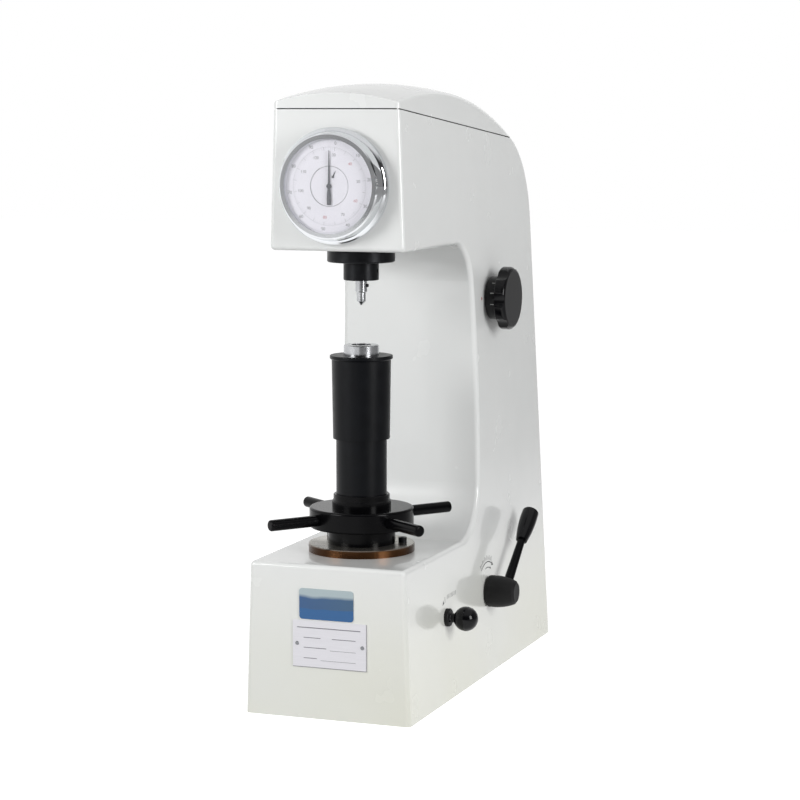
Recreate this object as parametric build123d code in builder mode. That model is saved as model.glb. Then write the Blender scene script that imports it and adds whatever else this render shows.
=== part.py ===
from build123d import *
from math import cos, radians, sin, sqrt, tan
import os

# Bench hardness tester with dead-weight loading, in millimetres.
# Frame: origin on the bench, in the middle of the base. +X is the operator's right,
# -Y the operator's side and +Z up. Names ending in _y and _z are places in that frame.

# ---- driving dimensions: C-shaped frame casting ----
base_depth = 464.4
base_width = 174.6
side_lean = 2.05            # degrees that each side leans in, going up
back_lean = 3.12            # degrees that the back leans forward, going up
base_height = 154.0
head_setback = 27.8         # the head's front face behind the base's
head_underside_z = 460.2
seam_front_z = 598.0        # joint of casting and cover, at the head's front face
seam_drop = 5.27            # degrees that the joint falls towards the back
throat_back_y = 2.5         # column's front face, at its middle
throat_bow = 11.5           # how far that face bows back between its two ends
throat_foot_radius = 58.0
throat_top_radius = 46.0
wall = 8.0
edge_radius = 4.5

# ---- driving dimensions: vaulted cover ----
vault_radius = 635.9        # along the ridge, about an axis across the machine
vault_axis_y = -95.85
vault_top_z = 623.4
vault_cross_radius = 247.5  # crown across the machine
vault_edge_radius = 2.0     # front edge of the vault
shoulder_radius = 95.0      # between the vault and the back
seam_groove = 1.1           # shadow line left between cover and casting
groove_depth = 2.0
blank_headroom = 60.0       # of the form's straight sides above the joint

# ---- driving dimensions: rear opening and its cover ----
hatch_width = 104.0
hatch_bottom_z = 56.0
hatch_height = 410.0
hatch_lap = 9.0             # cover beyond the opening, on each side
hatch_plate = 2.5
hatch_corner = 12.0
hatch_screw_rows = 3

# ---- driving dimensions: elevating screw, its wheel and sleeves ----
spindle_setback = 67.5      # spindle and screw axis behind the head's front face
screw_radius = 19.0
screw_top_z = 363.1
screw_foot_z = 66.0
anvil_ring_radius = 17.75
anvil_bore_radius = 10.0
anvil_bore_depth = 28.0
screw_collar_radius = 21.8
screw_collar_height = 8.0
keyway_width = 6.0
keyway_depth = 4.0
upper_sleeve_top_radius = 29.9
upper_sleeve_foot_radius = 28.7
upper_sleeve_rim_radius = 31.8
upper_sleeve_rim = 3.2
upper_sleeve_bore_radius = 26.2
upper_sleeve_length = 84.3
sleeve_top_drop = 10.3      # top of the upper sleeve below the screw's top
lower_sleeve_radius = 25.6
lower_sleeve_bore_radius = 22.4
lower_sleeve_top_z = 291.0
ring_radius = 53.8
ring_height = 8.0
bearing_radius = 34.2
bearing_height = 15.6
wheel_radius = 52.9
wheel_height = 20.8
wheel_round = 2.4
hub_radius = 29.9
hub_height = 7.6
hub_top_radius = 28.5
hub_top_height = 5.6
spoke_count = 4
spoke_radius = 5.7
spoke_reach = 107.5         # from the wheel's axis to a bar's end
spoke_turn = 53.5           # degrees from +X to the first bar
spoke_seat = 16.0           # depth of a bar in the wheel
ring_screw_circle = 41.5
ring_screw_turn = 20.0

# ---- driving dimensions: head, spindle and indenter ----
housing_flange_radius = 34.1
housing_flange_height = 13.9
housing_neck_radius = 17.8
housing_neck_height = 18.1
housing_tower_radius = 17.0
housing_tower_height = 34.0
spindle_radius = 7.0
spindle_nose_radius = 6.0
spindle_nose_drop = 12.0
spindle_top_z = 527.6
spindle_collar_radius = 11.5
spindle_collar_height = 4.0
indenter_radius = 4.5
indenter_length = 13.6
indenter_shank_radius = 3.175
indenter_shank_length = 16.0
indenter_tip_radius = 0.8
spring_wire_radius = 1.1
spring_mean_radius = 9.6
spring_turns = 5

# ---- driving dimensions: dial gauge ----
dial_z = 524.2
bezel_reach = 21.0          # front of the bezel in front of the head
bezel_flare_radius = 56.8
bezel_front_radius = 50.6
bezel_flare_reach = 8.2
bezel_foot_gap = 1.2
dial_plate_radius = 46.4
dial_plate_reach = 16.3
dial_plate_thickness = 1.0
glass_thickness = 1.6
dial_case_radius = 44.0
dial_stem_radius = 15.0
gauge_body_radius = 27.0
gauge_body_depth = 20.0
arbor_radius = 1.6
long_pointer_length = 34.5
long_pointer_tail = 18.0
long_pointer_tail_width = 4.2
short_pointer_length = 7.0
short_pointer_x = 3.8
pointer_thickness = 0.5

# ---- driving dimensions: dead-weight lever train ----
fulcrum_lead = 24.0         # fulcrum in front of the spindle's axis
lever_z = 545.0
lever_width = 22.0
lever_front_height = 26.0
lever_rear_height = 16.0
lever_overhang = 12.0       # beyond the hanger
lever_taper_lead = 40.0     # full height kept behind the spindle
lever_taper_tail = 60.0     # low height kept in front of the hanger
knife_radius = 4.0
hanger_setback = 114.2      # hanger in front of the base's back
hanger_rod_radius = 4.0
weight_radius = 42.0
weight_height = 20.0
weight_pitch = 42.0
weight_count = 3
weight_foot_z = 152.0
lift_rod_lag = 12.7         # lift rod behind the unloading lever's axis
lift_rod_radius = 5.0
damper_radius = 17.0
damper_bore_radius = 12.0
damper_foot_z = 236.0
damper_length = 96.0

# ---- driving dimensions: controls on the right side ----
lever_axis_y = 16.3
lever_axis_z = 88.5
lever_hub_length = 31.5
lever_hub_radius = 16.8
lever_hub_end_radius = 12.6
lever_rod_offset = 19.0     # rod from the side wall, along the hub
lever_rod_radius = 5.1
lever_rod_end_radius = 4.1
lever_rod_lean = 51.6       # degrees back from upright
lever_rod_length = 57.0     # from the hub's surface to the grip
grip_length = 42.0
grip_foot_radius = 6.1
grip_top_radius = 9.0
grip_middle_radius = 8.5
shaft_radius = 6.0
cam_radius = 16.0
cam_throw = 7.0
cam_turn = 25.0             # degrees of the cam's high side forward from upright
cam_width = 12.0
knob_axis_y = 55.0
knob_axis_z = 398.3
skirt_radius = 23.1
skirt_length = 13.0
knob_radius = 33.4
knob_length = 12.0
knob_lobes = 7
selector_shaft_radius = 5.0
selector_cam_radius = 12.0
selector_cam_throw = 4.0
selector_cam_width = 10.0
ball_axis_y = -115.8
ball_axis_z = 86.0
ball_radius = 12.5
ball_reach = 20.6           # ball's centre from the side wall
ball_neck_radius = 4.8
ball_stem_radius = 3.5
collar_radius = 9.2
collar_length = 4.3

# ---- driving dimensions: plates on the base's front ----
nameplate_width = 78.0
nameplate_height = 47.0
nameplate_z = 75.2
nameplate_x = 3.5
plate_thickness = 0.8
badge_width = 57.0
badge_height = 30.6
badge_z = 115.3
badge_corner = 3.0

# ---- driving dimensions: bearings, bushes and fasteners ----
wheel_gap = 0.6
guide_bush_radius = 24.0
guide_bush_length = 38.0
bush_flange_lap = 4.0
bush_flange_height = 3.0
key_height = 22.0
lead_nut_radius = 27.0
bearing_wall = 4.0
bearing_pocket = 10.0
thrust_ball_radius = 3.0
thrust_balls = 8
bush_wall = 3.0
bush_overhang = 5.0
ring_screw_radius = 2.5
hatch_screw_radius = 2.5
hatch_screw_pitch = 180.0
rivet_radius = 1.2
rivet_inset = 4.5
housing_screw_radius = 2.2
indenter_screw_radius = 1.7
indenter_screw_rise = 6.6
indenter_screw_length = 4.4
spring_chamber_floor = 4.0
spring_chamber_radius = 12.6
spring_cap_height = 4.0

# ---- driving dimensions: inside the gauge ----
dial_centre_radius = 19.2
short_arbor_radius = 0.8
short_pointer_rise = 9.0
short_pointer_turn = -25.0
short_pointer_width = 1.6
short_pointer_reach = 16.6
long_pointer_reach = 17.2
arbor_seat = 8.0
bezel_web = 1.0
bezel_lip = 1.0
bezel_rebate = 0.6
rocker_z = 508.0
rocker_radius = 3.5
rocker_arm = 16.0
rocker_width = 7.0
rocker_gap = 0.7

# ---- driving dimensions: inside the lever train ----
fulcrum_block_depth = 20.0
fulcrum_block_height = 30.0
fulcrum_pin_reach = 40.0
load_knife_depth = 3.0
hanger_pin_radius = 3.0
hanger_pin_z = 540.0
stirrup_wall = 3.0
stirrup_depth = 14.0
stirrup_drop = 9.0
stirrup_top_z = 549.0
hanger_disc_radius = 8.0
hanger_disc_height = 3.0
lift_foot_height = 5.0
piston_height = 10.0
damper_end = 5.0
shaft_seat = 16.0
rod_seat_z = 8.0
grip_socket = 12.0
selector_cam_x = 12.0
fork_bar_gap = 6.0
fork_bar_width = 8.0
fork_plate = 4.0
fork_plate_depth = 24.0
prong_gap = 2.0
prong_reach = 16.0
prong_length = 78.0
fork_guide_heights = (284.0, 350.0)
flute_radius = 16.0
flute_depth = 2.6
flute_blend = 4.0
knob_edge = 4.2
knob_back_edge = 1.6
stem_slot_length = 13.0
stem_slot_width = 7.8
stem_tail = 16.0
neck_gap = 1.4

# ---- clearances ----
running_fit = 0.05          # radial, shaft in its bush
seat_gap = 0.3              # parts of different bodies that rest on each other
side_gap = 0.8              # knobs and hubs off the side wall
loose_fit = 0.6             # radial, where a piece only passes through

# ---- derived places ----
base_front_y = -base_depth / 2
base_back_y = base_depth / 2
head_front_y = base_front_y + head_setback
spindle_y = head_front_y + spindle_setback
fulcrum_y = spindle_y - fulcrum_lead
hanger_y = base_back_y - hanger_setback
lever_rear_y = hanger_y + lever_overhang
lift_rod_y = lever_axis_y + lift_rod_lag
top_of_blank = seam_front_z + blank_headroom
vault_axis_z = vault_top_z - vault_radius
side_slope = tan(radians(side_lean))
back_slope = tan(radians(back_lean))
ring_screw_places = [(side * ring_screw_circle * cos(radians(ring_screw_turn)),
                      ring_screw_circle * sin(radians(ring_screw_turn))) for side in (1, -1)]


def half_width(z):
    """Half the frame's width at height z."""
    return base_width / 2 - z * side_slope


def side_plane(y, z):
    """Plane on the right-hand side wall at (y, z), facing the operator's right."""
    return Plane(origin=(half_width(z), y, z), x_dir=(0, 1, 0), z_dir=(1, 0, 0))


def across_plane(x, y, z):
    """Plane across the machine through (x, y, z), facing +X, its own y upwards."""
    return Plane(origin=(x, y, z), x_dir=(0, 1, 0), z_dir=(1, 0, 0))


def front_plane(y, x=0.0, z=0.0):
    """Plane that faces the operator, with its own y upwards."""
    return Plane(origin=(x, y, z), x_dir=(1, 0, 0), z_dir=(0, -1, 0))


def level_plane(z, y=0.0, x=0.0):
    """Horizontal plane at height z."""
    return Plane(origin=(x, y, z))


def finish(piece, name):
    """Name a finished piece and write it."""
    piece.label = name
    export_step(piece, f"parts/{name}.step")


def housing_form(inset):
    """Outer form of frame and cover together, drawn in by inset on every side."""
    column_ends_y = throat_back_y - throat_bow
    with BuildPart() as form:
        with BuildSketch(Plane.YZ):
            with BuildLine():
                Polyline((column_ends_y, base_height), (base_front_y, base_height), (base_front_y, 0),
                         (base_back_y, 0), (base_back_y - back_slope * top_of_blank, top_of_blank),
                         (head_front_y, top_of_blank), (head_front_y, head_underside_z),
                         (column_ends_y, head_underside_z))
                ThreePointArc((column_ends_y, head_underside_z),
                              (throat_back_y, (base_height + head_underside_z) / 2),
                              (column_ends_y, base_height))
            make_face()
            fillet(vertices().sort_by_distance((column_ends_y, base_height))[0], throat_foot_radius)
            fillet(vertices().sort_by_distance((column_ends_y, head_underside_z))[0], throat_top_radius)
            if inset:
                offset(amount=-inset, kind=Kind.INTERSECTION, mode=Mode.REPLACE)
        extrude(amount=base_width, both=True)
        ridge = vault_radius - inset
        reach = base_width / 2
        drop = vault_cross_radius - sqrt(vault_cross_radius ** 2 - reach ** 2)
        with BuildSketch(Plane(origin=(0, vault_axis_y, vault_axis_z), x_dir=(1, 0, 0), z_dir=(0, -1, 0))):
            with BuildLine():
                ThreePointArc((-reach, ridge - drop), (0, ridge), (reach, ridge - drop))
                Polyline((reach, ridge - drop), (reach, 0), (-reach, 0), (-reach, ridge - drop))
            make_face()
        revolve(axis=Axis((0, vault_axis_y, vault_axis_z), (1, 0, 0)), mode=Mode.INTERSECT)
        shoulder = edges().filter_by(lambda e: e.center().Z > head_underside_z + 20)
        fillet(shoulder.sort_by(Axis.Y)[-1], shoulder_radius - inset)
        if not inset:
            fillet(shoulder.sort_by(Axis.Y)[0], vault_edge_radius)
        with BuildSketch(Plane.XZ):
            with BuildLine():
                Polyline((half_width(0) - inset, inset), (half_width(top_of_blank) - inset, top_of_blank),
                         (inset - half_width(top_of_blank), top_of_blank),
                         (inset - half_width(0), inset), close=True)
            make_face()
        extrude(amount=base_depth, both=True, mode=Mode.INTERSECT)
    return form.part


os.makedirs("parts", exist_ok=True)

seam_plane = Plane(origin=(0, head_front_y, seam_front_z), x_dir=(1, 0, 0),
                   z_dir=(0, sin(radians(seam_drop)), cos(radians(seam_drop))))
back_plane = Plane(origin=(0, base_back_y, 0), x_dir=(-1, 0, 0),
                   z_dir=(0, cos(radians(back_lean)), sin(radians(back_lean))))
base_front_plane = front_plane(base_front_y)
head_front_plane = front_plane(head_front_y, z=dial_z)
cavity = housing_form(wall)

with BuildPart() as housing_blank:
    add(housing_form(0))
    front_faces_y = (base_front_y, head_front_y)
    side_edges = edges().filter_by(lambda e: e.center().Z > 1 and abs(e.center().X) > 1)
    front_edges = edges().filter_by(lambda e: min(abs(e.center().Y - y) for y in front_faces_y) < 1
                                    and 1 < e.center().Z < seam_front_z and abs(e.center().X) < 1)
    fillet(side_edges + front_edges, edge_radius)

# ---- heights of the elevating column, from the base up ----
ring_top_z = base_height + ring_height
bearing_top_z = ring_top_z + bearing_height
wheel_foot_z = bearing_top_z + wheel_gap
wheel_top_z = wheel_foot_z + wheel_height
hub_top_z = wheel_top_z + hub_height + hub_top_height
spoke_z = wheel_foot_z + wheel_height / 2
bush_flange_top_z = base_height + bush_flange_height
nut_top_z = wheel_top_z + hub_height - 2
sleeve_top_z = screw_top_z - sleeve_top_drop
sleeve_foot_z = sleeve_top_z - upper_sleeve_length
screw_shoulder_z = sleeve_top_z - upper_sleeve_rim
housing_foot_z = head_underside_z - housing_flange_height - housing_neck_height
housing_top_z = head_underside_z + housing_tower_height
chamber_floor_z = head_underside_z + spring_chamber_floor
spindle_foot_z = housing_foot_z - spindle_nose_drop
spindle_collar_z = chamber_floor_z + seat_gap
lever_foot_z = lever_z - lever_front_height / 2

# ---- places on the side wall ----
unload_wall_x = half_width(lever_axis_z)
knob_wall_x = half_width(knob_axis_z)
ball_wall_x = half_width(ball_axis_z)

# ==== frame ====
with BuildPart() as frame_casting:
    add(housing_blank.part)
    add(cavity, mode=Mode.SUBTRACT)
    split(bisect_by=seam_plane, keep=Keep.BOTTOM)
    with BuildSketch(level_plane(base_height - wall - 1, spindle_y)):
        Circle(guide_bush_radius + running_fit)
    extrude(amount=wall + 2, mode=Mode.SUBTRACT)
    with BuildSketch(level_plane(head_underside_z - 1, spindle_y)):
        Circle(housing_tower_radius + running_fit)
    extrude(amount=wall + 2, mode=Mode.SUBTRACT)
    with BuildSketch(head_front_plane):
        Circle(dial_stem_radius + running_fit)
    extrude(amount=-wall - 1, mode=Mode.SUBTRACT)
    with BuildSketch(side_plane(lever_axis_y, lever_axis_z)):
        Circle(shaft_radius + bush_wall)
    extrude(amount=wall + 2, both=True, mode=Mode.SUBTRACT)
    with BuildSketch(side_plane(knob_axis_y, knob_axis_z)):
        Circle(selector_shaft_radius + bush_wall)
    extrude(amount=wall + 2, both=True, mode=Mode.SUBTRACT)
    with BuildSketch(side_plane(ball_axis_y, ball_axis_z)):
        SlotOverall(stem_slot_length, stem_slot_width)
    extrude(amount=wall + 2, both=True, mode=Mode.SUBTRACT)
    with BuildSketch(back_plane):
        with Locations((0, hatch_bottom_z + hatch_height / 2)):
            RectangleRounded(hatch_width, hatch_height, hatch_corner)
    extrude(amount=-wall - 2, mode=Mode.SUBTRACT)
    with BuildSketch(back_plane):
        with Locations((0, hatch_bottom_z + hatch_height / 2)):
            with GridLocations(hatch_width + hatch_lap, hatch_screw_pitch, 2, hatch_screw_rows):
                Circle(hatch_screw_radius)
    extrude(amount=-wall + 2, mode=Mode.SUBTRACT)
    with BuildSketch(level_plane(base_height, spindle_y)):
        with Locations(*ring_screw_places):
            Circle(ring_screw_radius)
    extrude(amount=-wall + 2, mode=Mode.SUBTRACT)
finish(frame_casting.part, "frame_casting")

with BuildPart() as groove_ring:
    with BuildSketch(seam_plane):
        with Locations((0, base_depth / 2)):
            Rectangle(base_width * 2, base_depth * 2)
    extrude(amount=seam_groove)
    add(housing_form(groove_depth), mode=Mode.SUBTRACT)

with BuildPart() as top_cover:
    add(housing_blank.part)
    add(cavity, mode=Mode.SUBTRACT)
    split(bisect_by=seam_plane, keep=Keep.TOP)
    add(groove_ring.part, mode=Mode.SUBTRACT)
finish(top_cover.part, "top_cover")

with BuildPart() as rear_cover:
    with BuildSketch(back_plane):
        with Locations((0, hatch_bottom_z + hatch_height / 2)):
            RectangleRounded(hatch_width + 2 * hatch_lap, hatch_height + 2 * hatch_lap, hatch_corner)
            with GridLocations(hatch_width + hatch_lap, hatch_screw_pitch, 2, hatch_screw_rows):
                Circle(hatch_screw_radius + running_fit, mode=Mode.SUBTRACT)
    extrude(amount=hatch_plate)
finish(rear_cover.part, "rear_cover")

with BuildPart() as rear_cover_screws:
    with BuildSketch(back_plane.offset(hatch_plate)):
        with Locations((0, hatch_bottom_z + hatch_height / 2)):
            with GridLocations(hatch_width + hatch_lap, hatch_screw_pitch, 2, hatch_screw_rows):
                Circle(hatch_screw_radius * 1.8)
    extrude(amount=hatch_screw_radius)
    with BuildSketch(back_plane.offset(hatch_plate)):
        with Locations((0, hatch_bottom_z + hatch_height / 2)):
            with GridLocations(hatch_width + hatch_lap, hatch_screw_pitch, 2, hatch_screw_rows):
                Circle(hatch_screw_radius - running_fit)
    extrude(amount=-hatch_plate - wall + 2.5)
finish(rear_cover_screws.part, "rear_cover_screws")

with BuildPart() as nameplate:
    with BuildSketch(base_front_plane):
        with Locations((nameplate_x, nameplate_z)):
            RectangleRounded(nameplate_width, nameplate_height, 1)
            with GridLocations(nameplate_width - 2 * rivet_inset, 0, 2, 1):
                Circle(rivet_radius + running_fit, mode=Mode.SUBTRACT)
    extrude(amount=plate_thickness)
finish(nameplate.part, "nameplate")

with BuildPart() as nameplate_rivets:
    with BuildSketch(base_front_plane):
        with Locations((nameplate_x, nameplate_z)):
            with GridLocations(nameplate_width - 2 * rivet_inset, 0, 2, 1):
                Circle(rivet_radius)
    extrude(amount=plate_thickness)
    with BuildSketch(base_front_plane.offset(plate_thickness)):
        with Locations((nameplate_x, nameplate_z)):
            with GridLocations(nameplate_width - 2 * rivet_inset, 0, 2, 1):
                Circle(rivet_radius * 1.7)
    extrude(amount=rivet_radius * 0.7, taper=30)
finish(nameplate_rivets.part, "nameplate_rivets")

with BuildPart() as badge_plate:
    with BuildSketch(base_front_plane):
        with Locations((0, badge_z)):
            RectangleRounded(badge_width, badge_height, badge_corner)
    extrude(amount=plate_thickness)
finish(badge_plate.part, "badge_plate")

# ==== base ring, bearing and screw guide ====
with BuildPart() as base_ring:
    with BuildSketch(level_plane(base_height, spindle_y)):
        Circle(ring_radius)
        Circle(guide_bush_radius + bush_flange_lap + loose_fit, mode=Mode.SUBTRACT)
        with Locations(*ring_screw_places):
            Circle(ring_screw_radius + running_fit, mode=Mode.SUBTRACT)
    extrude(amount=ring_height)
    chamfer(edges().group_by(Axis.Z)[-1].sort_by(SortBy.LENGTH)[-1], 0.8)
finish(base_ring.part, "base_ring")

with BuildPart() as ring_screws:
    with BuildSketch(level_plane(ring_top_z, spindle_y)):
        with Locations(*ring_screw_places):
            Circle(ring_screw_radius * 1.7)
    extrude(amount=ring_screw_radius * 2)
    with BuildSketch(level_plane(ring_top_z + ring_screw_radius * 2, spindle_y)):
        with Locations(*ring_screw_places):
            RegularPolygon(ring_screw_radius * 0.9, 6)
    extrude(amount=-ring_screw_radius, mode=Mode.SUBTRACT)
    with BuildSketch(level_plane(ring_top_z, spindle_y)):
        with Locations(*ring_screw_places):
            Circle(ring_screw_radius - running_fit)
    extrude(amount=-ring_height - wall + 2.5)
finish(ring_screws.part, "ring_screws")

with BuildPart() as guide_bush:
    with BuildSketch(level_plane(bush_flange_top_z - guide_bush_length, spindle_y)):
        Circle(guide_bush_radius - running_fit)
    extrude(amount=guide_bush_length)
    with BuildSketch(level_plane(base_height, spindle_y)):
        Circle(guide_bush_radius + bush_flange_lap)
    extrude(amount=bush_flange_height)
    with BuildSketch(level_plane(bush_flange_top_z, spindle_y)):
        Circle(screw_radius + running_fit)
    extrude(amount=-guide_bush_length, mode=Mode.SUBTRACT)
    with BuildSketch(level_plane(bush_flange_top_z - guide_bush_length, spindle_y)):
        with Locations((0, guide_bush_radius)):
            Rectangle(keyway_width, guide_bush_radius * 2 - screw_radius)
    extrude(amount=key_height, mode=Mode.SUBTRACT)
finish(guide_bush.part, "guide_bush")

with BuildPart() as guide_key:
    key_root_y = screw_radius - keyway_depth + seat_gap
    with BuildSketch(level_plane(bush_flange_top_z - guide_bush_length, spindle_y)):
        with Locations((0, (key_root_y + guide_bush_radius) / 2)):
            Rectangle(keyway_width - 2 * running_fit, guide_bush_radius - key_root_y)
    extrude(amount=key_height - running_fit)
finish(guide_key.part, "guide_key")

with BuildPart() as bearing_housing:
    with BuildSketch(level_plane(ring_top_z, spindle_y)):
        Circle(bearing_radius)
    extrude(amount=bearing_height)
    chamfer(edges().group_by(Axis.Z)[-1], 1)
    with BuildSketch(level_plane(bush_flange_top_z, spindle_y)):
        Circle(guide_bush_radius + bush_flange_lap)
    extrude(amount=ring_top_z - bush_flange_top_z)
    with BuildSketch(level_plane(bush_flange_top_z, spindle_y)):
        Circle(screw_radius + loose_fit)
    extrude(amount=bearing_height + ring_height, mode=Mode.SUBTRACT)
    with BuildSketch(level_plane(bearing_top_z, spindle_y)):
        Circle(bearing_radius - bearing_wall)
    extrude(amount=-bearing_pocket, mode=Mode.SUBTRACT)
finish(bearing_housing.part, "bearing_housing")

# Ball cage with its balls, standing on the pocket's floor
with BuildPart() as thrust_bearing:
    bearing_floor_z = bearing_top_z - bearing_pocket
    cage_radius = (bearing_radius - bearing_wall + screw_radius) / 2 + 1
    with BuildSketch(level_plane(bearing_floor_z + thrust_ball_radius * 0.6, spindle_y)):
        Circle(cage_radius + thrust_ball_radius * 0.8)
        Circle(cage_radius - thrust_ball_radius * 0.8, mode=Mode.SUBTRACT)
    extrude(amount=thrust_ball_radius * 0.8)
    with Locations((0, spindle_y, bearing_floor_z + thrust_ball_radius + running_fit)):
        with PolarLocations(cage_radius, thrust_balls):
            Sphere(thrust_ball_radius)
finish(thrust_bearing.part, "thrust_bearing")

# ==== handwheel ====
with BuildPart() as handwheel:
    with BuildSketch(level_plane(wheel_foot_z, spindle_y)):
        Circle(wheel_radius)
    extrude(amount=wheel_height)
    fillet(edges().group_by(Axis.Z)[0] + edges().group_by(Axis.Z)[-1], wheel_round)
    with BuildSketch(level_plane(wheel_top_z, spindle_y)):
        Circle(hub_radius)
    extrude(amount=hub_height)
    chamfer(edges().group_by(Axis.Z)[-1], hub_radius - hub_top_radius)
    with BuildSketch(level_plane(wheel_top_z + hub_height, spindle_y)):
        Circle(hub_top_radius)
    extrude(amount=hub_top_height)
    chamfer(edges().group_by(Axis.Z)[-1], 0.8)
    race_z = bearing_floor_z + 2 * thrust_ball_radius + running_fit + seat_gap
    with BuildSketch(level_plane(race_z, spindle_y)):
        Circle(cage_radius + thrust_ball_radius)
    extrude(amount=wheel_foot_z - race_z)
    with BuildSketch(level_plane(race_z, spindle_y)):
        Circle(lead_nut_radius)
    extrude(amount=nut_top_z - race_z, mode=Mode.SUBTRACT)
    with BuildSketch(level_plane(nut_top_z, spindle_y)):
        Circle(lower_sleeve_radius + running_fit)
    extrude(amount=hub_top_z - nut_top_z, mode=Mode.SUBTRACT)
    with Locations(Plane(origin=(0, spindle_y, spoke_z))):
        with PolarLocations(0, spoke_count, start_angle=spoke_turn):
            with Locations(Location((wheel_radius - spoke_seat, 0, 0), (0, 90, 0))):
                Cylinder(spoke_radius + running_fit, spoke_seat + 1,
                         align=(Align.CENTER, Align.CENTER, Align.MIN), mode=Mode.SUBTRACT)
finish(handwheel.part, "handwheel")

with BuildPart() as handwheel_bars:
    with BuildSketch(across_plane(wheel_radius - spoke_seat, 0, 0)):
        Circle(spoke_radius)
    extrude(amount=spoke_reach - wheel_radius + spoke_seat)
    fillet(edges().group_by(Axis.X)[-1], spoke_radius * 0.35)
    chamfer(edges().group_by(Axis.X)[0], 0.8)
bars = [Location((0, spindle_y, spoke_z), (0, 0, spoke_turn + 360 / spoke_count * i)) * handwheel_bars.part
        for i in range(spoke_count)]
finish(Compound(children=bars), "handwheel_bars")

with BuildPart() as lead_nut:
    with BuildSketch(level_plane(race_z, spindle_y)):
        Circle(lead_nut_radius - running_fit)
        Circle(screw_radius + running_fit, mode=Mode.SUBTRACT)
    extrude(amount=nut_top_z - race_z)
finish(lead_nut.part, "lead_nut")

with BuildPart() as lower_sleeve:
    with BuildSketch(level_plane(nut_top_z, spindle_y)):
        Circle(lower_sleeve_radius)
        Circle(lower_sleeve_bore_radius, mode=Mode.SUBTRACT)
    extrude(amount=lower_sleeve_top_z - nut_top_z)
    chamfer(edges().group_by(Axis.Z)[-1].sort_by(SortBy.LENGTH)[-1], 0.6)
finish(lower_sleeve.part, "lower_sleeve")

# ==== elevating screw ====
with BuildPart() as elevating_screw:
    with BuildSketch(level_plane(screw_foot_z, spindle_y)):
        Circle(screw_radius)
    extrude(amount=screw_shoulder_z - screw_foot_z)
    chamfer(edges().group_by(Axis.Z)[0], 1.5)
    with BuildSketch(level_plane(screw_shoulder_z - screw_collar_height, spindle_y)):
        Circle(screw_collar_radius)
    extrude(amount=screw_collar_height)
    with BuildSketch(level_plane(screw_shoulder_z, spindle_y)):
        Circle(anvil_ring_radius)
    extrude(amount=screw_top_z - screw_shoulder_z)
    chamfer(edges().group_by(Axis.Z)[-1], 0.8)
    with BuildSketch(level_plane(screw_top_z, spindle_y)):
        Circle(anvil_bore_radius)
    extrude(amount=-anvil_bore_depth, mode=Mode.SUBTRACT)
    with BuildSketch(level_plane(screw_foot_z, spindle_y)):
        with Locations((0, screw_radius)):
            Rectangle(keyway_width, 2 * keyway_depth)
    extrude(amount=screw_shoulder_z - screw_collar_height - screw_foot_z, mode=Mode.SUBTRACT)
finish(elevating_screw.part, "elevating_screw")

with BuildPart() as upper_sleeve:
    with BuildSketch(front_plane(spindle_y)):
        with BuildLine():
            Polyline((anvil_ring_radius + seat_gap, sleeve_top_z), (upper_sleeve_rim_radius, sleeve_top_z),
                     (upper_sleeve_rim_radius, screw_shoulder_z), (upper_sleeve_top_radius, screw_shoulder_z - 1.5),
                     (upper_sleeve_foot_radius, sleeve_foot_z), (upper_sleeve_bore_radius, sleeve_foot_z),
                     (upper_sleeve_bore_radius, screw_shoulder_z),
                     (anvil_ring_radius + seat_gap, screw_shoulder_z), close=True)
        make_face()
    revolve(axis=Axis((0, spindle_y, 0), (0, 0, 1)))
    fillet(edges().group_by(Axis.Z)[-1].sort_by(SortBy.LENGTH)[-1], 1.0)
finish(upper_sleeve.part, "upper_sleeve")

# ==== spindle, its housing and the indenter ====
with BuildPart() as spindle_housing:
    with BuildSketch(level_plane(head_underside_z, spindle_y)):
        Circle(housing_flange_radius)
    extrude(amount=-housing_flange_height)
    fillet(edges().group_by(Axis.Z)[0], 1.6)
    with BuildSketch(level_plane(housing_foot_z, spindle_y)):
        Circle(housing_neck_radius)
    extrude(amount=housing_neck_height)
    chamfer(edges().group_by(Axis.Z)[0], 0.6)
    with BuildSketch(level_plane(head_underside_z, spindle_y)):
        Circle(housing_tower_radius)
    extrude(amount=housing_tower_height)
    with BuildSketch(level_plane(housing_foot_z, spindle_y)):
        Circle(spindle_radius + bush_wall)
    extrude(amount=chamber_floor_z - housing_foot_z, mode=Mode.SUBTRACT)
    with BuildSketch(level_plane(chamber_floor_z, spindle_y)):
        Circle(spring_chamber_radius)
    extrude(amount=housing_tower_height, mode=Mode.SUBTRACT)
    with BuildSketch(across_plane(0, spindle_y, housing_foot_z + housing_neck_height / 2)):
        Circle(housing_screw_radius)
    extrude(amount=housing_neck_radius, mode=Mode.SUBTRACT)
finish(spindle_housing.part, "spindle_housing")

with BuildPart() as housing_screw:
    neck_wall = housing_neck_radius - spindle_radius - bush_wall
    with BuildSketch(across_plane(spindle_radius + bush_wall, spindle_y, housing_foot_z + housing_neck_height / 2)):
        Circle(housing_screw_radius - running_fit)
    extrude(amount=neck_wall - 1)
    with BuildSketch(across_plane(housing_neck_radius - 1, spindle_y, housing_foot_z + housing_neck_height / 2)):
        RegularPolygon(housing_screw_radius * 0.5, 6)
    extrude(amount=-neck_wall / 2, mode=Mode.SUBTRACT)
finish(housing_screw.part, "housing_screw")

with BuildPart() as spindle_bush:
    with BuildSketch(level_plane(housing_foot_z, spindle_y)):
        Circle(spindle_radius + bush_wall - running_fit)
        Circle(spindle_radius + running_fit, mode=Mode.SUBTRACT)
    extrude(amount=chamber_floor_z - housing_foot_z)
finish(spindle_bush.part, "spindle_bush")

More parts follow.
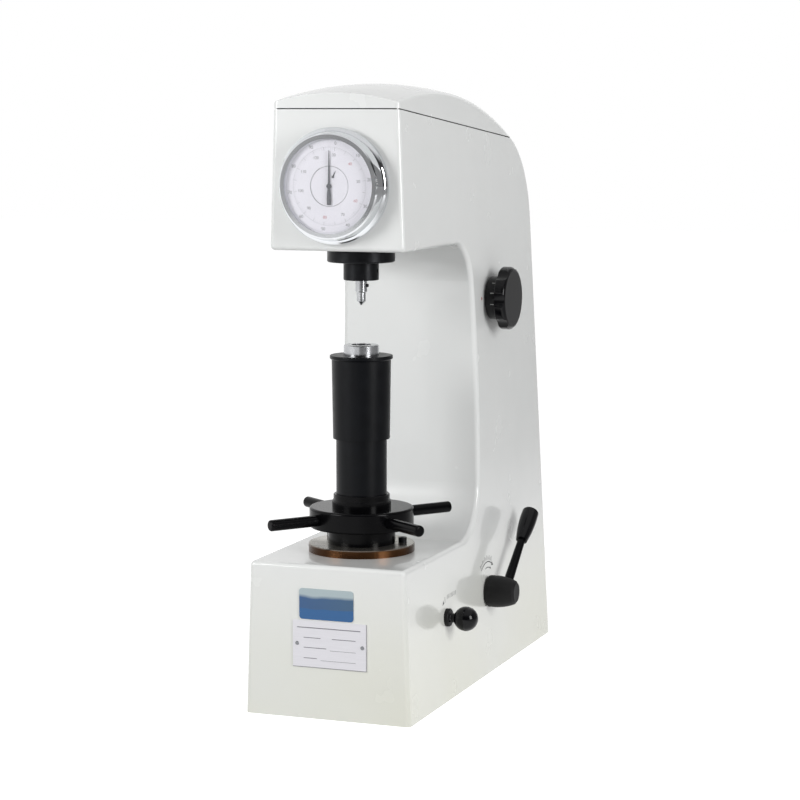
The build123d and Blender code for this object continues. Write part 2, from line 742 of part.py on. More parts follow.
with BuildPart() as spring_cap:
    with BuildSketch(level_plane(housing_top_z, spindle_y)):
        Circle(housing_tower_radius)
        Circle(spindle_radius + running_fit, mode=Mode.SUBTRACT)
    extrude(amount=spring_cap_height)
finish(spring_cap.part, "spring_cap")

with BuildPart() as spindle:
    with BuildSketch(level_plane(spindle_foot_z, spindle_y)):
        Circle(spindle_nose_radius)
    extrude(amount=spindle_top_z - spindle_foot_z)
    chamfer(edges().group_by(Axis.Z)[0], 0.5)
    with BuildSketch(level_plane(housing_foot_z + 1, spindle_y)):
        Circle(spindle_radius)
    extrude(amount=spindle_top_z - housing_foot_z - 1)
    with BuildSketch(level_plane(spindle_collar_z, spindle_y)):
        Circle(spindle_collar_radius)
    extrude(amount=spindle_collar_height)
    with BuildSketch(level_plane(spindle_foot_z, spindle_y)):
        Circle(indenter_shank_radius + running_fit)
    extrude(amount=indenter_shank_length + 1, mode=Mode.SUBTRACT)
    with BuildSketch(across_plane(0, spindle_y, spindle_foot_z + indenter_screw_rise)):
        Circle(indenter_screw_radius)
    extrude(amount=spindle_nose_radius, mode=Mode.SUBTRACT)
finish(spindle.part, "spindle")

with BuildPart() as indenter_screw:
    with BuildSketch(across_plane(indenter_shank_radius + running_fit, spindle_y, spindle_foot_z + indenter_screw_rise)):
        Circle(indenter_screw_radius - running_fit)
    extrude(amount=indenter_screw_length)
finish(indenter_screw.part, "indenter_screw")

with BuildPart() as indenter:
    tip_z = spindle_foot_z - indenter_length
    with BuildSketch(front_plane(spindle_y)):
        with BuildLine():
            Polyline((0, tip_z), (indenter_tip_radius, tip_z + 0.4), (indenter_radius * 0.42, tip_z + 1.6),
                     (indenter_radius, tip_z + 4.2), (indenter_radius, spindle_foot_z),
                     (indenter_shank_radius, spindle_foot_z),
                     (indenter_shank_radius, spindle_foot_z + indenter_shank_length),
                     (0, spindle_foot_z + indenter_shank_length), close=True)
        make_face()
    revolve(axis=Axis((0, spindle_y, 0), (0, 0, 1)))
finish(indenter.part, "indenter")

with BuildPart() as spindle_spring:
    spring_foot_z = spindle_collar_z + spindle_collar_height + spring_wire_radius + running_fit
    spring_height = housing_top_z - spring_foot_z - spring_wire_radius - running_fit
    with BuildLine(level_plane(spring_foot_z, spindle_y)):
        coil = Helix(spring_height / spring_turns, spring_height, spring_mean_radius)
    with BuildSketch(Plane(origin=coil @ 0, z_dir=coil % 0)):
        RegularPolygon(spring_wire_radius, 8)
    sweep(path=coil, is_frenet=True)
finish(spindle_spring.part, "spindle_spring")

# ==== dial gauge ====
with BuildPart() as dial_case:
    with BuildSketch(head_front_plane.offset(0)):
        Circle(dial_case_radius)
    extrude(amount=dial_plate_reach - dial_plate_thickness - seat_gap)
    with BuildSketch(head_front_plane.offset(-wall)):
        Circle(dial_stem_radius)
    extrude(amount=wall)
    with BuildSketch(head_front_plane.offset(-wall)):
        Circle(arbor_radius + running_fit)
        with Locations((short_pointer_x, short_pointer_rise)):
            Circle(short_arbor_radius + running_fit)
    extrude(amount=wall + dial_plate_reach, mode=Mode.SUBTRACT)
finish(dial_case.part, "dial_case")

with BuildPart() as dial_centre:
    with BuildSketch(head_front_plane.offset(dial_plate_reach - dial_plate_thickness - seat_gap)):
        Circle(dial_centre_radius)
        Circle(arbor_radius + running_fit, mode=Mode.SUBTRACT)
        with Locations((short_pointer_x, short_pointer_rise)):
            Circle(short_arbor_radius + running_fit, mode=Mode.SUBTRACT)
    extrude(amount=dial_plate_thickness + seat_gap)
finish(dial_centre.part, "dial_centre")

with BuildPart() as gauge_body:
    with BuildSketch(head_front_plane.offset(-wall - gauge_body_depth)):
        Circle(gauge_body_radius)
    extrude(amount=gauge_body_depth)
    with BuildSketch(head_front_plane.offset(-wall)):
        Circle(arbor_radius + running_fit)
        with Locations((short_pointer_x, short_pointer_rise)):
            Circle(short_arbor_radius + running_fit)
    extrude(amount=-arbor_seat, mode=Mode.SUBTRACT)
finish(gauge_body.part, "gauge_body")

with BuildPart() as bezel:
    plate_back = dial_plate_reach - dial_plate_thickness
    plate_seat = plate_back - bezel_web
    glass_seat = bezel_reach - bezel_lip - glass_thickness
    with BuildSketch(Plane(origin=(0, head_front_y, dial_z), x_dir=(1, 0, 0), z_dir=(0, 0, 1))):
        with BuildLine():
            Polyline((dial_case_radius + running_fit, -bezel_foot_gap), (bezel_flare_radius - 2, -bezel_foot_gap),
                     (bezel_flare_radius, -bezel_foot_gap - 2), (bezel_flare_radius, -bezel_flare_reach + 1))
            ThreePointArc((bezel_flare_radius, -bezel_flare_reach + 1),
                          (bezel_flare_radius - 1.3, -bezel_flare_reach - 1.6),
                          (bezel_flare_radius - 3.4, -bezel_flare_reach - 3.2))
            Line((bezel_flare_radius - 3.4, -bezel_flare_reach - 3.2), (bezel_front_radius + 0.6, 1.2 - bezel_reach))
            Polyline((bezel_front_radius + 0.6, 1.2 - bezel_reach), (bezel_front_radius - 0.8, -bezel_reach),
                     (dial_plate_radius - bezel_rebate, -bezel_reach),
                     (dial_plate_radius - bezel_rebate, -bezel_reach + bezel_lip),
                     (dial_plate_radius + running_fit, -bezel_reach + bezel_lip),
                     (dial_plate_radius + running_fit, -plate_back), (dial_case_radius + running_fit, -plate_back),
                     (dial_case_radius + running_fit, -bezel_foot_gap))
        make_face()
    revolve(axis=Axis((0, head_front_y, dial_z), (0, 1, 0)))
finish(bezel.part, "bezel")

with BuildPart() as dial_plate:
    with BuildSketch(head_front_plane.offset(plate_back)):
        Circle(dial_plate_radius)
        Circle(dial_centre_radius + seat_gap, mode=Mode.SUBTRACT)
    extrude(amount=dial_plate_thickness)
finish(dial_plate.part, "dial_plate")

with BuildPart() as dial_glass:
    with BuildSketch(head_front_plane.offset(glass_seat)):
        Circle(dial_plate_radius)
    extrude(amount=glass_thickness)
finish(dial_glass.part, "dial_glass")

with BuildPart() as long_pointer:
    with BuildSketch(head_front_plane.offset(long_pointer_reach)):
        with BuildLine():
            Polyline((-1.1, 0), (-0.25, long_pointer_length), (0.25, long_pointer_length), (1.1, 0),
                     (long_pointer_tail_width / 2, -long_pointer_tail * 0.45),
                     (long_pointer_tail_width / 2, -long_pointer_tail),
                     (-long_pointer_tail_width / 2, -long_pointer_tail),
                     (-long_pointer_tail_width / 2, -long_pointer_tail * 0.45), close=True)
        make_face()
        Circle(arbor_radius * 1.6)
    extrude(amount=pointer_thickness)
    with BuildSketch(head_front_plane.offset(-wall - arbor_seat)):
        Circle(arbor_radius)
    extrude(amount=wall + arbor_seat + long_pointer_reach)
finish(long_pointer.part, "long_pointer")

with BuildPart() as short_pointer:
    with BuildSketch(head_front_plane.offset(short_pointer_reach)):
        with Locations(Location((short_pointer_x, short_pointer_rise, 0), short_pointer_turn)):
            Triangle(a=short_pointer_width, b=short_pointer_length, c=short_pointer_length,
                     align=(Align.CENTER, Align.MIN))
        with Locations((short_pointer_x, short_pointer_rise)):
            Circle(short_arbor_radius * 1.5)
    extrude(amount=pointer_thickness / 2)
    with BuildSketch(head_front_plane.offset(-wall - arbor_seat)):
        with Locations((short_pointer_x, short_pointer_rise)):
            Circle(short_arbor_radius)
    extrude(amount=wall + arbor_seat + short_pointer_reach)
finish(short_pointer.part, "short_pointer")

# Rocker that carries the spindle's rise to the gauge
with BuildPart() as gauge_lever:
    gauge_back_y = head_front_y + wall + gauge_body_depth
    rocker_y = gauge_back_y + rocker_radius + rocker_gap
    with BuildSketch(across_plane(-rocker_width / 2, 0, 0)):
        with BuildLine():
            Polyline((rocker_y - rocker_radius, rocker_z), (rocker_y - rocker_radius, rocker_z + rocker_arm),
                     (rocker_y, rocker_z + rocker_arm), (rocker_y, rocker_z + rocker_radius),
                     (spindle_y - spindle_radius - seat_gap, rocker_z + rocker_radius),
                     (spindle_y - spindle_radius - seat_gap, rocker_z - rocker_radius),
                     (rocker_y - rocker_radius, rocker_z - rocker_radius), close=True)
        make_face()
    extrude(amount=rocker_width)
finish(gauge_lever.part, "gauge_lever")

# ==== lever train ====
with BuildPart() as fulcrum_blocks:
    with Locations((0, fulcrum_y, lever_z)):
        Box(base_width, fulcrum_block_depth, fulcrum_block_height)
        Box(lever_width + 2 * loose_fit, fulcrum_block_depth + 2, fulcrum_block_height + 2, mode=Mode.SUBTRACT)
    with BuildSketch(across_plane(0, fulcrum_y, lever_z)):
        Circle(knife_radius + running_fit)
    extrude(amount=base_width, both=True, mode=Mode.SUBTRACT)
    add(cavity, mode=Mode.INTERSECT)
finish(fulcrum_blocks.part, "fulcrum_blocks")

with BuildPart() as main_lever:
    lever_front_y = fulcrum_y - fulcrum_block_depth / 2
    with BuildSketch(across_plane(-lever_width / 2, 0, 0)):
        with BuildLine():
            Polyline((lever_front_y, lever_foot_z), (lever_rear_y, lever_foot_z),
                     (lever_rear_y, lever_foot_z + lever_rear_height),
                     (hanger_y - lever_taper_tail, lever_foot_z + lever_rear_height),
                     (spindle_y + lever_taper_lead, lever_foot_z + lever_front_height),
                     (lever_front_y, lever_foot_z + lever_front_height), close=True)
        make_face()
    extrude(amount=lever_width)
    with BuildSketch(across_plane(0, fulcrum_y, lever_z)):
        Circle(knife_radius)
    extrude(amount=fulcrum_pin_reach, both=True)
    with BuildSketch(across_plane(0, hanger_y, hanger_pin_z)):
        Circle(hanger_pin_radius)
    extrude(amount=lever_width / 2 + stirrup_wall + loose_fit, both=True)
    with BuildSketch(across_plane(-lever_width / 2, 0, 0)):
        with BuildLine():
            Polyline((spindle_y - knife_radius, lever_foot_z), (spindle_y, lever_foot_z - load_knife_depth),
                     (spindle_y + knife_radius, lever_foot_z), close=True)
        make_face()
    extrude(amount=lever_width)
finish(main_lever.part, "main_lever")

with BuildPart() as weight_hanger:
    stirrup_half = lever_width / 2 + loose_fit
    bridge_z = lever_foot_z - stirrup_drop
    with BuildSketch(front_plane(hanger_y - stirrup_depth / 2)):
        with BuildLine():
            Polyline((stirrup_half, stirrup_top_z), (stirrup_half + stirrup_wall, stirrup_top_z),
                     (stirrup_half + stirrup_wall, bridge_z - stirrup_wall),
                     (-stirrup_half - stirrup_wall, bridge_z - stirrup_wall),
                     (-stirrup_half - stirrup_wall, stirrup_top_z), (-stirrup_half, stirrup_top_z),
                     (-stirrup_half, bridge_z), (stirrup_half, bridge_z), close=True)
        make_face()
    extrude(amount=-stirrup_depth)
    with BuildSketch(across_plane(0, hanger_y, hanger_pin_z)):
        Circle(hanger_pin_radius + seat_gap)
    extrude(amount=base_width, both=True, mode=Mode.SUBTRACT)
    with BuildSketch(level_plane(weight_foot_z, hanger_y)):
        Circle(hanger_rod_radius)
    extrude(amount=bridge_z - weight_foot_z)
    for i in range(weight_count):
        with BuildSketch(level_plane(weight_foot_z + i * weight_pitch - hanger_disc_height, hanger_y)):
            Circle(hanger_disc_radius)
        extrude(amount=hanger_disc_height)
finish(weight_hanger.part, "weight_hanger")

for i in range(weight_count):
    with BuildPart() as weight:
        with BuildSketch(level_plane(weight_foot_z + i * weight_pitch, hanger_y)):
            Circle(weight_radius)
            Circle(hanger_rod_radius + running_fit, mode=Mode.SUBTRACT)
        extrude(amount=weight_height)
        chamfer(edges().filter_by(GeomType.CIRCLE).sort_by(SortBy.LENGTH)[-2:], 1.5)
    finish(weight.part, f"weight_{'cba'[i]}")

with BuildPart() as lift_rod:
    foot_z = lever_axis_z + cam_radius + cam_throw * cos(radians(cam_turn)) + seat_gap
    with BuildSketch(level_plane(foot_z, lift_rod_y)):
        Circle(lift_rod_radius)
    extrude(amount=lever_foot_z - seat_gap - foot_z)
    with BuildSketch(level_plane(foot_z, (lever_axis_y + lift_rod_y) / 2)):
        RectangleRounded(cam_width + 4, lift_rod_y - lever_axis_y + 3 * lift_rod_radius, 3)
    extrude(amount=lift_foot_height)
    with BuildSketch(level_plane(damper_foot_z + damper_length * 0.6, lift_rod_y)):
        Circle(damper_bore_radius - running_fit)
    extrude(amount=piston_height)
finish(lift_rod.part, "lift_rod")

with BuildPart() as damper_cylinder:
    with BuildSketch(level_plane(damper_foot_z, lift_rod_y)):
        Circle(damper_radius)
        with Locations((0, -damper_radius)):
            Rectangle(damper_radius, damper_radius * 2)
    extrude(amount=damper_length)
    with BuildSketch(level_plane(damper_foot_z + damper_end, lift_rod_y)):
        Circle(damper_bore_radius)
    extrude(amount=damper_length - 2 * damper_end, mode=Mode.SUBTRACT)
    with BuildSketch(level_plane(damper_foot_z, lift_rod_y)):
        Circle(lift_rod_radius + running_fit)
    extrude(amount=damper_length, mode=Mode.SUBTRACT)
    add(cavity, mode=Mode.INTERSECT)
finish(damper_cylinder.part, "damper_cylinder")

# ==== unloading lever ====
with BuildPart() as unload_hub:
    hub_foot_x = unload_wall_x + side_gap
    hub_end_x = hub_foot_x + lever_hub_length
    with BuildSketch(level_plane(lever_axis_z, lever_axis_y)):
        with BuildLine():
            Line((hub_foot_x, 0), (hub_foot_x, lever_hub_radius - 1.6))
            ThreePointArc((hub_foot_x, lever_hub_radius - 1.6), (hub_foot_x + 1.2, lever_hub_radius - 0.4),
                          (hub_foot_x + 4, lever_hub_radius))
            ThreePointArc((hub_foot_x + 4, lever_hub_radius), (hub_foot_x + 19, lever_hub_radius - 1.0),
                          (hub_end_x - 2, lever_hub_end_radius))
            Polyline((hub_end_x - 2, lever_hub_end_radius), (hub_end_x, lever_hub_end_radius - 2.6),
                     (hub_end_x, 0), (hub_foot_x, 0))
        make_face()
    revolve(axis=Axis((0, lever_axis_y, lever_axis_z), (1, 0, 0)))
    with BuildSketch(across_plane(hub_foot_x, lever_axis_y, lever_axis_z)):
        Circle(shaft_radius + running_fit)
    extrude(amount=shaft_seat, mode=Mode.SUBTRACT)
    rod_x = unload_wall_x + lever_rod_offset
    rod_dir = (0, sin(radians(lever_rod_lean)), cos(radians(lever_rod_lean)))
    rod_plane = Plane(origin=(rod_x, lever_axis_y, lever_axis_z), x_dir=(1, 0, 0), z_dir=rod_dir)
    rod_section = Plane(origin=rod_plane.origin, x_dir=(1, 0, 0), z_dir=(0, -rod_dir[2], rod_dir[1]))
    with BuildSketch(rod_plane.offset(rod_seat_z)):
        Circle(lever_rod_radius + running_fit)
    extrude(amount=lever_hub_radius, mode=Mode.SUBTRACT)
finish(unload_hub.part, "unload_hub")

with BuildPart() as unload_rod:
    rod_top = lever_hub_radius + lever_rod_length
    with BuildSketch(rod_section):
        with BuildLine():
            Polyline((0, rod_seat_z), (lever_rod_radius, rod_seat_z), (lever_rod_radius, lever_hub_radius),
                     (lever_rod_end_radius, rod_top), (lever_rod_end_radius, rod_top + grip_socket),
                     (0, rod_top + grip_socket), (0, rod_seat_z))
        make_face()
    revolve(axis=Axis(rod_plane.origin, rod_dir))
finish(unload_rod.part, "unload_rod")

# Grip: a slim cone with a hollow curve, widest at its flat top
with BuildPart() as unload_grip:
    grip_top = rod_top + grip_length
    with BuildSketch(rod_section):
        with BuildLine():
            Line((0, rod_top), (grip_foot_radius, rod_top))
            ThreePointArc((grip_foot_radius, rod_top), (grip_middle_radius, rod_top + grip_length * 0.38),
                          (grip_top_radius, grip_top - 1.5))
            ThreePointArc((grip_top_radius, grip_top - 1.5), (grip_top_radius - 0.6, grip_top - 0.4),
                          (grip_top_radius - 1.8, grip_top))
            Polyline((grip_top_radius - 1.8, grip_top), (0, grip_top), (0, rod_top))
        make_face()
    revolve(axis=Axis(rod_plane.origin, rod_dir))
    with BuildSketch(rod_plane.offset(rod_top)):
        Circle(lever_rod_end_radius + running_fit)
    extrude(amount=grip_socket + 1, mode=Mode.SUBTRACT)
finish(unload_grip.part, "unload_grip")

with BuildPart() as unload_shaft:
    with BuildSketch(across_plane(-cam_width / 2 - 2, lever_axis_y, lever_axis_z)):
        Circle(shaft_radius)
    extrude(amount=hub_foot_x + shaft_seat + cam_width / 2 + 1)
finish(unload_shaft.part, "unload_shaft")

with BuildPart() as lift_cam:
    with BuildSketch(across_plane(-cam_width / 2, lever_axis_y, lever_axis_z)):
        with Locations((-cam_throw * sin(radians(cam_turn)), cam_throw * cos(radians(cam_turn)))):
            Circle(cam_radius)
        Circle(shaft_radius + running_fit, mode=Mode.SUBTRACT)
    extrude(amount=cam_width)
finish(lift_cam.part, "lift_cam")

# Bushes in the side wall: inner ends stand proud of it, outer ends stop short of it
with BuildPart() as side_bushes:
    for y, z, radius in ((lever_axis_y, lever_axis_z, shaft_radius), (knob_axis_y, knob_axis_z, selector_shaft_radius)):
        with BuildSketch(across_plane(half_width(z) - wall - bush_overhang, y, z)):
            Circle(radius + bush_wall - running_fit)
            Circle(radius + running_fit, mode=Mode.SUBTRACT)
        extrude(amount=wall + bush_overhang - 1)
finish(side_bushes.part, "side_bushes")

# ==== load selector ====
knob_foot_x = knob_wall_x + side_gap
knob_back_x = knob_foot_x + skirt_length
with BuildPart() as selector_skirt:
    with BuildSketch(across_plane(knob_foot_x, knob_axis_y, knob_axis_z)):
        Circle(skirt_radius)
        Circle(selector_shaft_radius + running_fit, mode=Mode.SUBTRACT)
    extrude(amount=skirt_length)
    chamfer(edges().group_by(Axis.X)[0].sort_by(SortBy.LENGTH)[-1], 1)
finish(selector_skirt.part, "selector_skirt")

with BuildPart() as selector_knob:
    with BuildSketch(across_plane(knob_back_x, knob_axis_y, knob_axis_z)):
        Circle(knob_radius)
    extrude(amount=knob_length)
    fillet(edges().group_by(Axis.X)[-1], knob_edge)
    fillet(edges().group_by(Axis.X)[0], knob_back_edge)
    with BuildSketch(across_plane(knob_back_x, knob_axis_y, knob_axis_z)):
        Circle(knob_radius)
        with PolarLocations(knob_radius + flute_radius - flute_depth, knob_lobes, start_angle=360 / knob_lobes / 2):
            Circle(flute_radius, mode=Mode.SUBTRACT)
        fillet(vertices(), flute_blend)
    extrude(amount=knob_length, mode=Mode.INTERSECT)
    with BuildSketch(across_plane(knob_back_x, knob_axis_y, knob_axis_z)):
        Circle(selector_shaft_radius + running_fit)
    extrude(amount=knob_length * 0.6, mode=Mode.SUBTRACT)
finish(selector_knob.part, "selector_knob")

with BuildPart() as selector_shaft:
    with BuildSketch(across_plane(selector_cam_x - 1, knob_axis_y, knob_axis_z)):
        Circle(selector_shaft_radius)
    extrude(amount=knob_back_x + knob_length * 0.5 - selector_cam_x)
finish(selector_shaft.part, "selector_shaft")

with BuildPart() as selector_cam:
    with BuildSketch(across_plane(selector_cam_x, knob_axis_y, knob_axis_z)):
        with Locations((0, -selector_cam_throw)):
            Circle(selector_cam_radius)
        Circle(selector_shaft_radius + running_fit, mode=Mode.SUBTRACT)
    extrude(amount=selector_cam_width)
finish(selector_cam.part, "selector_cam")

with BuildPart() as selector_fork:
    fork_bar_y = hanger_y - weight_radius - fork_bar_gap
    fork_top_z = knob_axis_z + selector_cam_radius - selector_cam_throw + seat_gap
    prong_z = weight_foot_z + weight_height + prong_gap
    with BuildSketch(level_plane(fork_top_z, fork_bar_y)):
        with Locations((fork_bar_width / 2 + selector_cam_x / 2, -fork_plate_depth / 2)):
            Rectangle(selector_cam_x + selector_cam_width + 2, fork_plate_depth)
        with Locations((0, -fork_bar_width / 2)):
            Rectangle(fork_bar_width, fork_bar_width)
    extrude(amount=fork_plate)
    with BuildSketch(level_plane(prong_z, fork_bar_y)):
        with Locations((0, -fork_bar_width / 2)):
            Rectangle(fork_bar_width, fork_bar_width)
    extrude(amount=fork_top_z - prong_z)
    for i in range(weight_count - 1):
        with BuildSketch(level_plane(prong_z + i * weight_pitch, fork_bar_y)):
            with Locations((0, prong_length / 2 - fork_bar_width)):
                Rectangle(2 * prong_reach, prong_length)
            with Locations((0, prong_length / 2)):
                Rectangle(2 * prong_reach - 2 * fork_plate, prong_length, mode=Mode.SUBTRACT)
        extrude(amount=fork_plate)
finish(selector_fork.part, "selector_fork")

with BuildPart() as fork_guides:
    for z in fork_guide_heights:
        with BuildSketch(level_plane(z, fork_bar_y - fork_bar_width / 2)):
            with Locations((half_width(z) / 2 - fork_bar_width, 0)):
                Rectangle(half_width(z) + 2 * fork_bar_width, 2 * fork_bar_width)
            Rectangle(fork_bar_width + 2 * seat_gap, fork_bar_width + 2 * seat_gap, mode=Mode.SUBTRACT)
        extrude(amount=fork_bar_width)
    add(cavity, mode=Mode.INTERSECT)
finish(fork_guides.part, "fork_guides")

# ==== loading latch ====
with BuildPart() as load_ball:
    ball_x = ball_wall_x + ball_reach
    neck_x = ball_wall_x + collar_length + neck_gap
    with BuildSketch(across_plane(neck_x, ball_axis_y, ball_axis_z)):
        Circle(ball_neck_radius)
    extrude(amount=ball_x - neck_x)
    with Locations((ball_x, ball_axis_y, ball_axis_z)):
        Sphere(ball_radius)
    with BuildSketch(across_plane(neck_x, ball_axis_y, ball_axis_z)):
        Circle(ball_stem_radius + running_fit)
    extrude(amount=ball_x - neck_x, mode=Mode.SUBTRACT)
finish(load_ball.part, "load_ball")

with BuildPart() as load_stem:
    with BuildSketch(across_plane(ball_wall_x - wall - stem_tail, ball_axis_y, ball_axis_z)):
        Circle(ball_stem_radius)
    extrude(amount=ball_x - ball_wall_x + wall + stem_tail - 1)
    with BuildSketch(across_plane(ball_wall_x - wall - stem_tail, ball_axis_y, ball_axis_z)):
        Circle(ball_stem_radius * 1.6)
    extrude(amount=ball_stem_radius * 1.6)
finish(load_stem.part, "load_stem")

with BuildPart() as latch_collar:
    with BuildSketch(side_plane(ball_axis_y, ball_axis_z)):
        Circle(collar_radius)
    extrude(amount=collar_length)
    chamfer(edges().group_by(Axis.X)[-1], 0.8)
    with BuildSketch(side_plane(ball_axis_y, ball_axis_z)):
        Circle(collar_radius)
    extrude(amount=-wall)
    with BuildSketch(side_plane(ball_axis_y, ball_axis_z)):
        SlotOverall(stem_slot_length, stem_slot_width)
    extrude(amount=collar_length + wall, both=True, mode=Mode.SUBTRACT)
    add(housing_form(0), mode=Mode.SUBTRACT)
finish(latch_collar.part, "latch_collar")
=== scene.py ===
import math

import bmesh
import bpy
from mathutils import Matrix, Vector


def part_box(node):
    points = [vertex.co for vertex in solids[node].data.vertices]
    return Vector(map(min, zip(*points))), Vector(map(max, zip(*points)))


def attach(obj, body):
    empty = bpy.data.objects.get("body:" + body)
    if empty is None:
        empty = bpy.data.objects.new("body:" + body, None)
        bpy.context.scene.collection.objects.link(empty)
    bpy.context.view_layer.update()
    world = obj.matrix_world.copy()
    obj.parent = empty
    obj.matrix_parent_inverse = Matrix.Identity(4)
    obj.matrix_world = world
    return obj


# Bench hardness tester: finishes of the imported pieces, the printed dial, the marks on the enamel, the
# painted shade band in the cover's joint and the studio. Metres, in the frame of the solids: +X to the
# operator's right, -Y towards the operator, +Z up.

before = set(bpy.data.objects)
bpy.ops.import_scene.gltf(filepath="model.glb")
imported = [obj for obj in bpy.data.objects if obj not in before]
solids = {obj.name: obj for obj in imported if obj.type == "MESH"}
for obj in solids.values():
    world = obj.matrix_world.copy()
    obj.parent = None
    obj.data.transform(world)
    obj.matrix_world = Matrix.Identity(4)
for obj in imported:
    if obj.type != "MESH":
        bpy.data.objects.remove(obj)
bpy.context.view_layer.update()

# ---- sizes shared by the pieces below, in metres ----
MM = 0.001
SCREW_AXIS = Vector((0.0, -0.1369, 0.0))
DIAL_CENTRE = Vector((0.0, -0.2044, 0.5242))
DIAL_RADIUS = 46.4 * MM
DIAL_FACE_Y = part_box("dial_plate")[0].y
DIAL_TURN = math.radians(9.0)
KNOB_AXIS = Vector((0.0, 0.055, 0.3983))
HUB_AXIS = Vector((0.0, 0.0163, 0.0885))
SIDE_LEAN = math.radians(2.05)
FOOT_HALF_WIDTH = 87.3 * MM
SEAM_FRONT = Vector((0.0, -0.2044, 0.598))
SEAM_DROP = math.radians(5.27)
SEAM_GROOVE = 1.1 * MM
SEAM_DEPTH = 2.0 * MM
INK = 0.05 * MM


# ---- small tools ----
def linear(code, alpha=1.0):
    """Linear RGBA of an sRGB hex colour."""
    channels = [int(code[i:i + 2], 16) / 255 for i in (1, 3, 5)]
    return [c / 12.92 if c <= 0.04045 else ((c + 0.055) / 1.055) ** 2.4 for c in channels] + [alpha]


def feed(tree, node, inputs):
    """Give inputs of a node: each a value, or a socket to link."""
    for name, value in inputs.items():
        if isinstance(value, bpy.types.NodeSocket):
            tree.links.new(value, node.inputs[name])
        else:
            node.inputs[name].default_value = value


def add(tree, kind, inputs=None, out=None, **settings):
    """A node of a tree with its settings and links: the node, or one of its outputs."""
    node = tree.nodes.new(kind)
    for name, value in settings.items():
        setattr(node, name, value)
    feed(tree, node, inputs or {})
    return node if out is None else node.outputs[out]


def finish_named(name, plain):
    """A new material with its plain values set: material, tree, shader, object coordinates."""
    material = bpy.data.materials.new(name)
    material.use_nodes = True
    tree = material.node_tree
    surface = tree.nodes["Principled BSDF"]
    feed(tree, surface, plain)
    return material, tree, surface, add(tree, "ShaderNodeTexCoord", out="Object")


def grains(size):
    """Noise scale whose grains are about size metres across."""
    return 0.5 / size


def rings(pitch):
    """Wave scale whose rings are pitch metres apart."""
    return 0.314 / pitch


# ---- finishes ----
def stoved_enamel():
    """Gloss white stoved enamel, sprayed over filled and rubbed cast iron: faint orange peel of 3 mm on
    long waves 70 mm apart that hand filling leaves, and a painted reflection of the floor: a little yellow
    near the bench."""
    material, tree, surface, place = finish_named("stoved_enamel_white", {
        "Coat Weight": 0.5, "Coat Roughness": 0.05, "IOR": 1.5})
    height = add(tree, "ShaderNodeSeparateXYZ", {"Vector": place}, "Z")
    cloud = add(tree, "ShaderNodeTexNoise", {"Vector": place, "Scale": grains(0.09), "Detail": 2.0}, "Fac")
    # painted reflection: the white turns yellow in clouds towards the bench, standing in for light thrown up
    # from the floor
    low = add(tree, "ShaderNodeMapRange", {"Value": height, "From Min": 0.16, "From Max": 0.0}, "Result")
    floor_tint = add(tree, "ShaderNodeMath", {0: low, 1: cloud}, 0, operation="MULTIPLY")
    clean = add(tree, "ShaderNodeMix", {0: cloud, 6: linear("#e2e4e3"), 7: linear("#e7e8e7")}, 2,
                data_type="RGBA")
    floor_tinted = add(tree, "ShaderNodeMix", {0: floor_tint, 6: clean, 7: linear("#dcdcc6")}, 2, data_type="RGBA")
    grain = add(tree, "ShaderNodeTexNoise", {"Vector": place, "Scale": grains(0.02), "Detail": 3.0}, "Fac")
    gloss = add(tree, "ShaderNodeMapRange", {"Value": grain, "To Min": 0.14, "To Max": 0.34}, "Result")
    waves = add(tree, "ShaderNodeTexNoise", {"Vector": place, "Scale": grains(0.07), "Detail": 1.0}, "Fac")
    peel = add(tree, "ShaderNodeTexNoise", {"Vector": place, "Scale": grains(0.003), "Detail": 2.0}, "Fac")
    filled = add(tree, "ShaderNodeBump", {"Height": waves, "Distance": 0.0014, "Strength": 0.3}, "Normal")
    skin = add(tree, "ShaderNodeBump", {"Height": peel, "Distance": 0.00003, "Strength": 0.35,
                                        "Normal": filled}, "Normal")
    feed(tree, surface, {"Base Color": floor_tinted, "Roughness": gloss, "Normal": skin})
    return material


def dipped_enamel():
    """Gloss black enamel, dipped: deep and wet-looking over the casting's 8 mm ripple, with dust in it."""
    material, tree, surface, place = finish_named("dipped_enamel_black", {
        "Specular IOR Level": 0.08, "Coat Weight": 0.03, "Coat Roughness": 0.04, "Roughness": 0.2})
    grain = add(tree, "ShaderNodeTexNoise", {"Vector": place, "Scale": grains(0.004), "Detail": 3.0}, "Fac")
    black = add(tree, "ShaderNodeMix", {0: grain, 6: linear("#040405"), 7: linear("#0a0a0c")}, 2,
                data_type="RGBA")
    ripple = add(tree, "ShaderNodeTexNoise", {"Vector": place, "Scale": grains(0.008), "Detail": 2.0}, "Fac")
    skin = add(tree, "ShaderNodeBump", {"Height": ripple, "Distance": 0.00008, "Strength": 0.3}, "Normal")
    feed(tree, surface, {"Base Color": black, "Normal": skin})
    return material


def stoving_paint():
    """Semi-matt black stoving paint on drawn steel tube: a fine stipple, drawn 0.8 mm so that it shows,
    and the cold blue cast of carbon black."""
    material, tree, surface, place = finish_named("stoving_paint_semi_matt", {"Specular IOR Level": 0.14})
    grain = add(tree, "ShaderNodeTexNoise", {"Vector": place, "Scale": grains(0.006), "Detail": 4.0}, "Fac")
    black = add(tree, "ShaderNodeMix", {0: grain, 6: linear("#040507"), 7: linear("#090b10")}, 2,
                data_type="RGBA")
    gloss = add(tree, "ShaderNodeMapRange", {"Value": grain, "From Min": 0.3, "From Max": 0.7,
                                             "To Min": 0.30, "To Max": 0.40}, "Result")
    stipple = add(tree, "ShaderNodeTexNoise", {"Vector": place, "Scale": grains(0.0008),
                                               "Detail": 2.0}, "Fac")
    skin = add(tree, "ShaderNodeBump", {"Height": stipple, "Distance": 0.00003, "Strength": 0.3}, "Normal")
    feed(tree, surface, {"Base Color": black, "Roughness": gloss, "Normal": skin})
    return material


